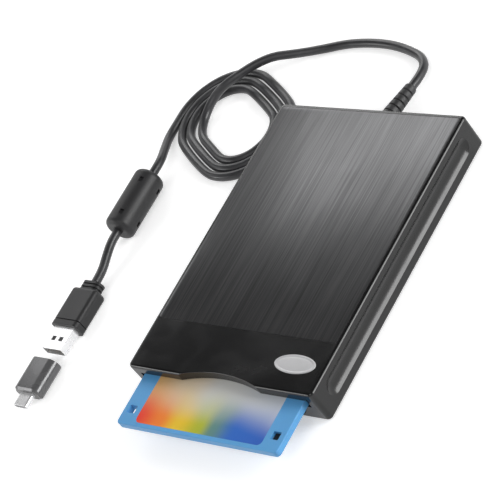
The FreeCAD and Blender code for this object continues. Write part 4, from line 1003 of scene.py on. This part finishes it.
@dataclass
class Mechanism:
    """The inner pieces, which keep their own shapes and get finishes."""

    smoothed: tuple[tuple[str, str], ...] = (("eject_button", "ejector"),)

    def build(self) -> None:
        """Dresses every frame node that still shows."""
        for node, body in self.smoothed:
            settle_copy(node, body)
        for name, obj in frame["nodes"].items():
            if not obj.hide_render:
                WARDROBE.dress(obj, OWN_FINISH.get(name, slot_of_node(name)))
                log.info("%s keeps its shape", name)


@dataclass(frozen=True)
class Softbox:
    """A soft rectangular lamp at one place in metres, facing another."""

    name: str
    at: Place
    to: Place
    size: Span
    watts: float

    def build(self) -> None:
        """Makes the lamp, with its width level, out of the camera's own sight."""
        data = bpy.data.lights.new(self.name, "AREA")
        data.shape = "RECTANGLE"
        data.size, data.size_y = self.size
        data.energy = self.watts
        obj = add_object(self.name, data)
        away = np.array(self.at) - np.array(self.to)
        back = away / np.linalg.norm(away)
        side = np.cross((0.0, 0.0, 1.0), back)
        side = side / np.linalg.norm(side)
        turn = Matrix(np.stack([side, np.cross(back, side), back], 1).tolist()).to_4x4()
        obj.matrix_world = Matrix.Translation(self.at) @ turn
        obj.visible_camera = False


@dataclass
class Studio:
    """Floor, light and the camera of the photograph.

    The lamps are a key from the front right, an edge light from the front left, a softbox low at the right
    back that the side groove mirrors, a small one that the connectors' tops mirror, and one at the left
    back that the brushed plate mirrors. The camera's angles are degrees.
    """

    floor_z: float = -0.8
    floor_half: float = 4.0
    floor_glow: float = 0.47
    floor_paint: tuple[Colour, Colour] = ((0.80, 0.80, 0.80), (0.82, 0.82, 0.82))
    floor_roughness: float = 0.9
    floor_grain: Span = (40.0, 3.0)
    room: Colour = (0.30, 0.30, 0.30)
    room_ramp: tuple[tuple[float, Colour], ...] = ((0.22, (1, 1, 1)), (0.55, (0.09, 0.09, 0.09)))
    lamps: tuple[Softbox, ...] = (
        Softbox("key_softbox", (0.35, -0.75, 1.15), (0, 0, 0), (0.9, 0.9), 5.0),
        Softbox("edge_softbox", (-1.0, -0.88, 0.55), (0, 0, 0), (0.6, 0.4), 4.0),
        Softbox("groove_softbox", (1.05, 0.48, 0.42), (0, 0, 0.01), (0.60, 0.85), 12.5),
        Softbox("connector_softbox", (-0.213, 0.010, 0.095), (-0.114, -0.052, 0.0), (0.09, 0.05), 0.028),
        Softbox("plate_softbox", (-0.54, 0.60, 0.46), (0.0, 0.05, 0.0), (0.52, 0.30), 1.7),
    )
    camera_at: Place = (0.69649, -0.42533, 0.67616)
    camera_azimuth: float = -30.228
    camera_elevation: float = 38.421
    camera_roll: float = -40.036
    lens: float = 181.27
    sensor: float = 36.0

    def floor(self) -> None:
        """A pale plane; seen, mirrored or looked through it glows a little, so that it reads as white."""
        half = self.floor_half
        z = self.floor_z * MM
        points = np.array([(-half, -half, z), (half, -half, z), (half, half, z), (-half, half, z)])
        obj = mesh_piece("studio_floor", points, [(0, 1, 2, 3)])
        board = Board("studio_floor_paint")
        board.set_surface(Roughness=self.floor_roughness, Specular_IOR_Level=0.0)
        board.tint(board.grain(*self.floor_grain).outputs["Patches"], *self.floor_paint)
        seen = board.rays("Is Camera Ray", "Is Glossy Ray", "Is Transmission Ray")
        glow = board.add("ShaderNodeEmission", Color=(1, 1, 1, 1),
                         Strength=board.remap(seen, target=(0.0, self.floor_glow)))
        both = board.add("ShaderNodeAddShader", {}, (board.surface.outputs["BSDF"], glow.outputs["Emission"]))
        board.join(both.outputs["Shader"], board.output.inputs["Surface"])
        obj.data.materials.append(board.material)

    def world(self) -> None:
        """A grey room, white towards the horizon where it is seen or mirrored."""
        world = bpy.data.worlds.new("studio_room")
        bpy.context.scene.world = world
        world.use_nodes = True
        canvas = Canvas(world.node_tree)
        canvas.tree.nodes.clear()
        direction = canvas.add("ShaderNodeTexCoord")
        split = canvas.add("ShaderNodeSeparateXYZ", Vector=direction.outputs["Generated"])
        plain = canvas.add("ShaderNodeBackground", Color=(*self.room, 1.0))
        shown = canvas.add("ShaderNodeBackground",
                           Color=canvas.ramp(split.outputs["Z"], self.room_ramp, "LINEAR"))
        mix = canvas.add("ShaderNodeMixShader", {}, (canvas.rays("Is Camera Ray", "Is Glossy Ray"),
                                                     plain.outputs["Background"],
                                                     shown.outputs["Background"]))
        output = canvas.add("ShaderNodeOutputWorld")
        canvas.join(mix.outputs["Shader"], output.inputs["Surface"])

    def camera(self) -> None:
        """The photograph's camera: it looks back along its azimuth and elevation, rolled about that line."""
        data = bpy.data.cameras.new("photo_camera")
        data.lens = self.lens
        data.sensor_width = self.sensor
        obj = add_object("photo_camera", data)
        azimuth, elevation, roll = np.radians((self.camera_azimuth, self.camera_elevation, self.camera_roll))
        back = np.array([np.cos(elevation) * np.cos(azimuth), np.cos(elevation) * np.sin(azimuth),
                         np.sin(elevation)])
        level = np.array([-np.sin(azimuth), np.cos(azimuth), 0.0])
        right = level * np.cos(roll) + np.cross(back, level) * np.sin(roll)
        turn = Matrix(np.stack([right, np.cross(back, right), back], 1).tolist()).to_4x4()
        obj.matrix_world = Matrix.Translation(self.camera_at) @ turn
        bpy.context.scene.camera = obj

    def build(self) -> None:
        """Sets the stage."""
        bpy.context.scene.view_settings.view_transform = "Standard"
        self.floor()
        self.world()
        for lamp in self.lamps:
            lamp.build()
        self.camera()


def main() -> None:
    """Builds the sub-assemblies in order."""
    logging.basicConfig(level=logging.INFO, format="%(message)s")
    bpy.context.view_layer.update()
    Studio().build()
    cord = SignalCord()
    cord_obj = cord.build()
    Housing().build()
    FloppyDisk().build()
    carried = PlugAndAdapter().build()
    Mechanism().build()


if __name__ == "__main__":
    main()
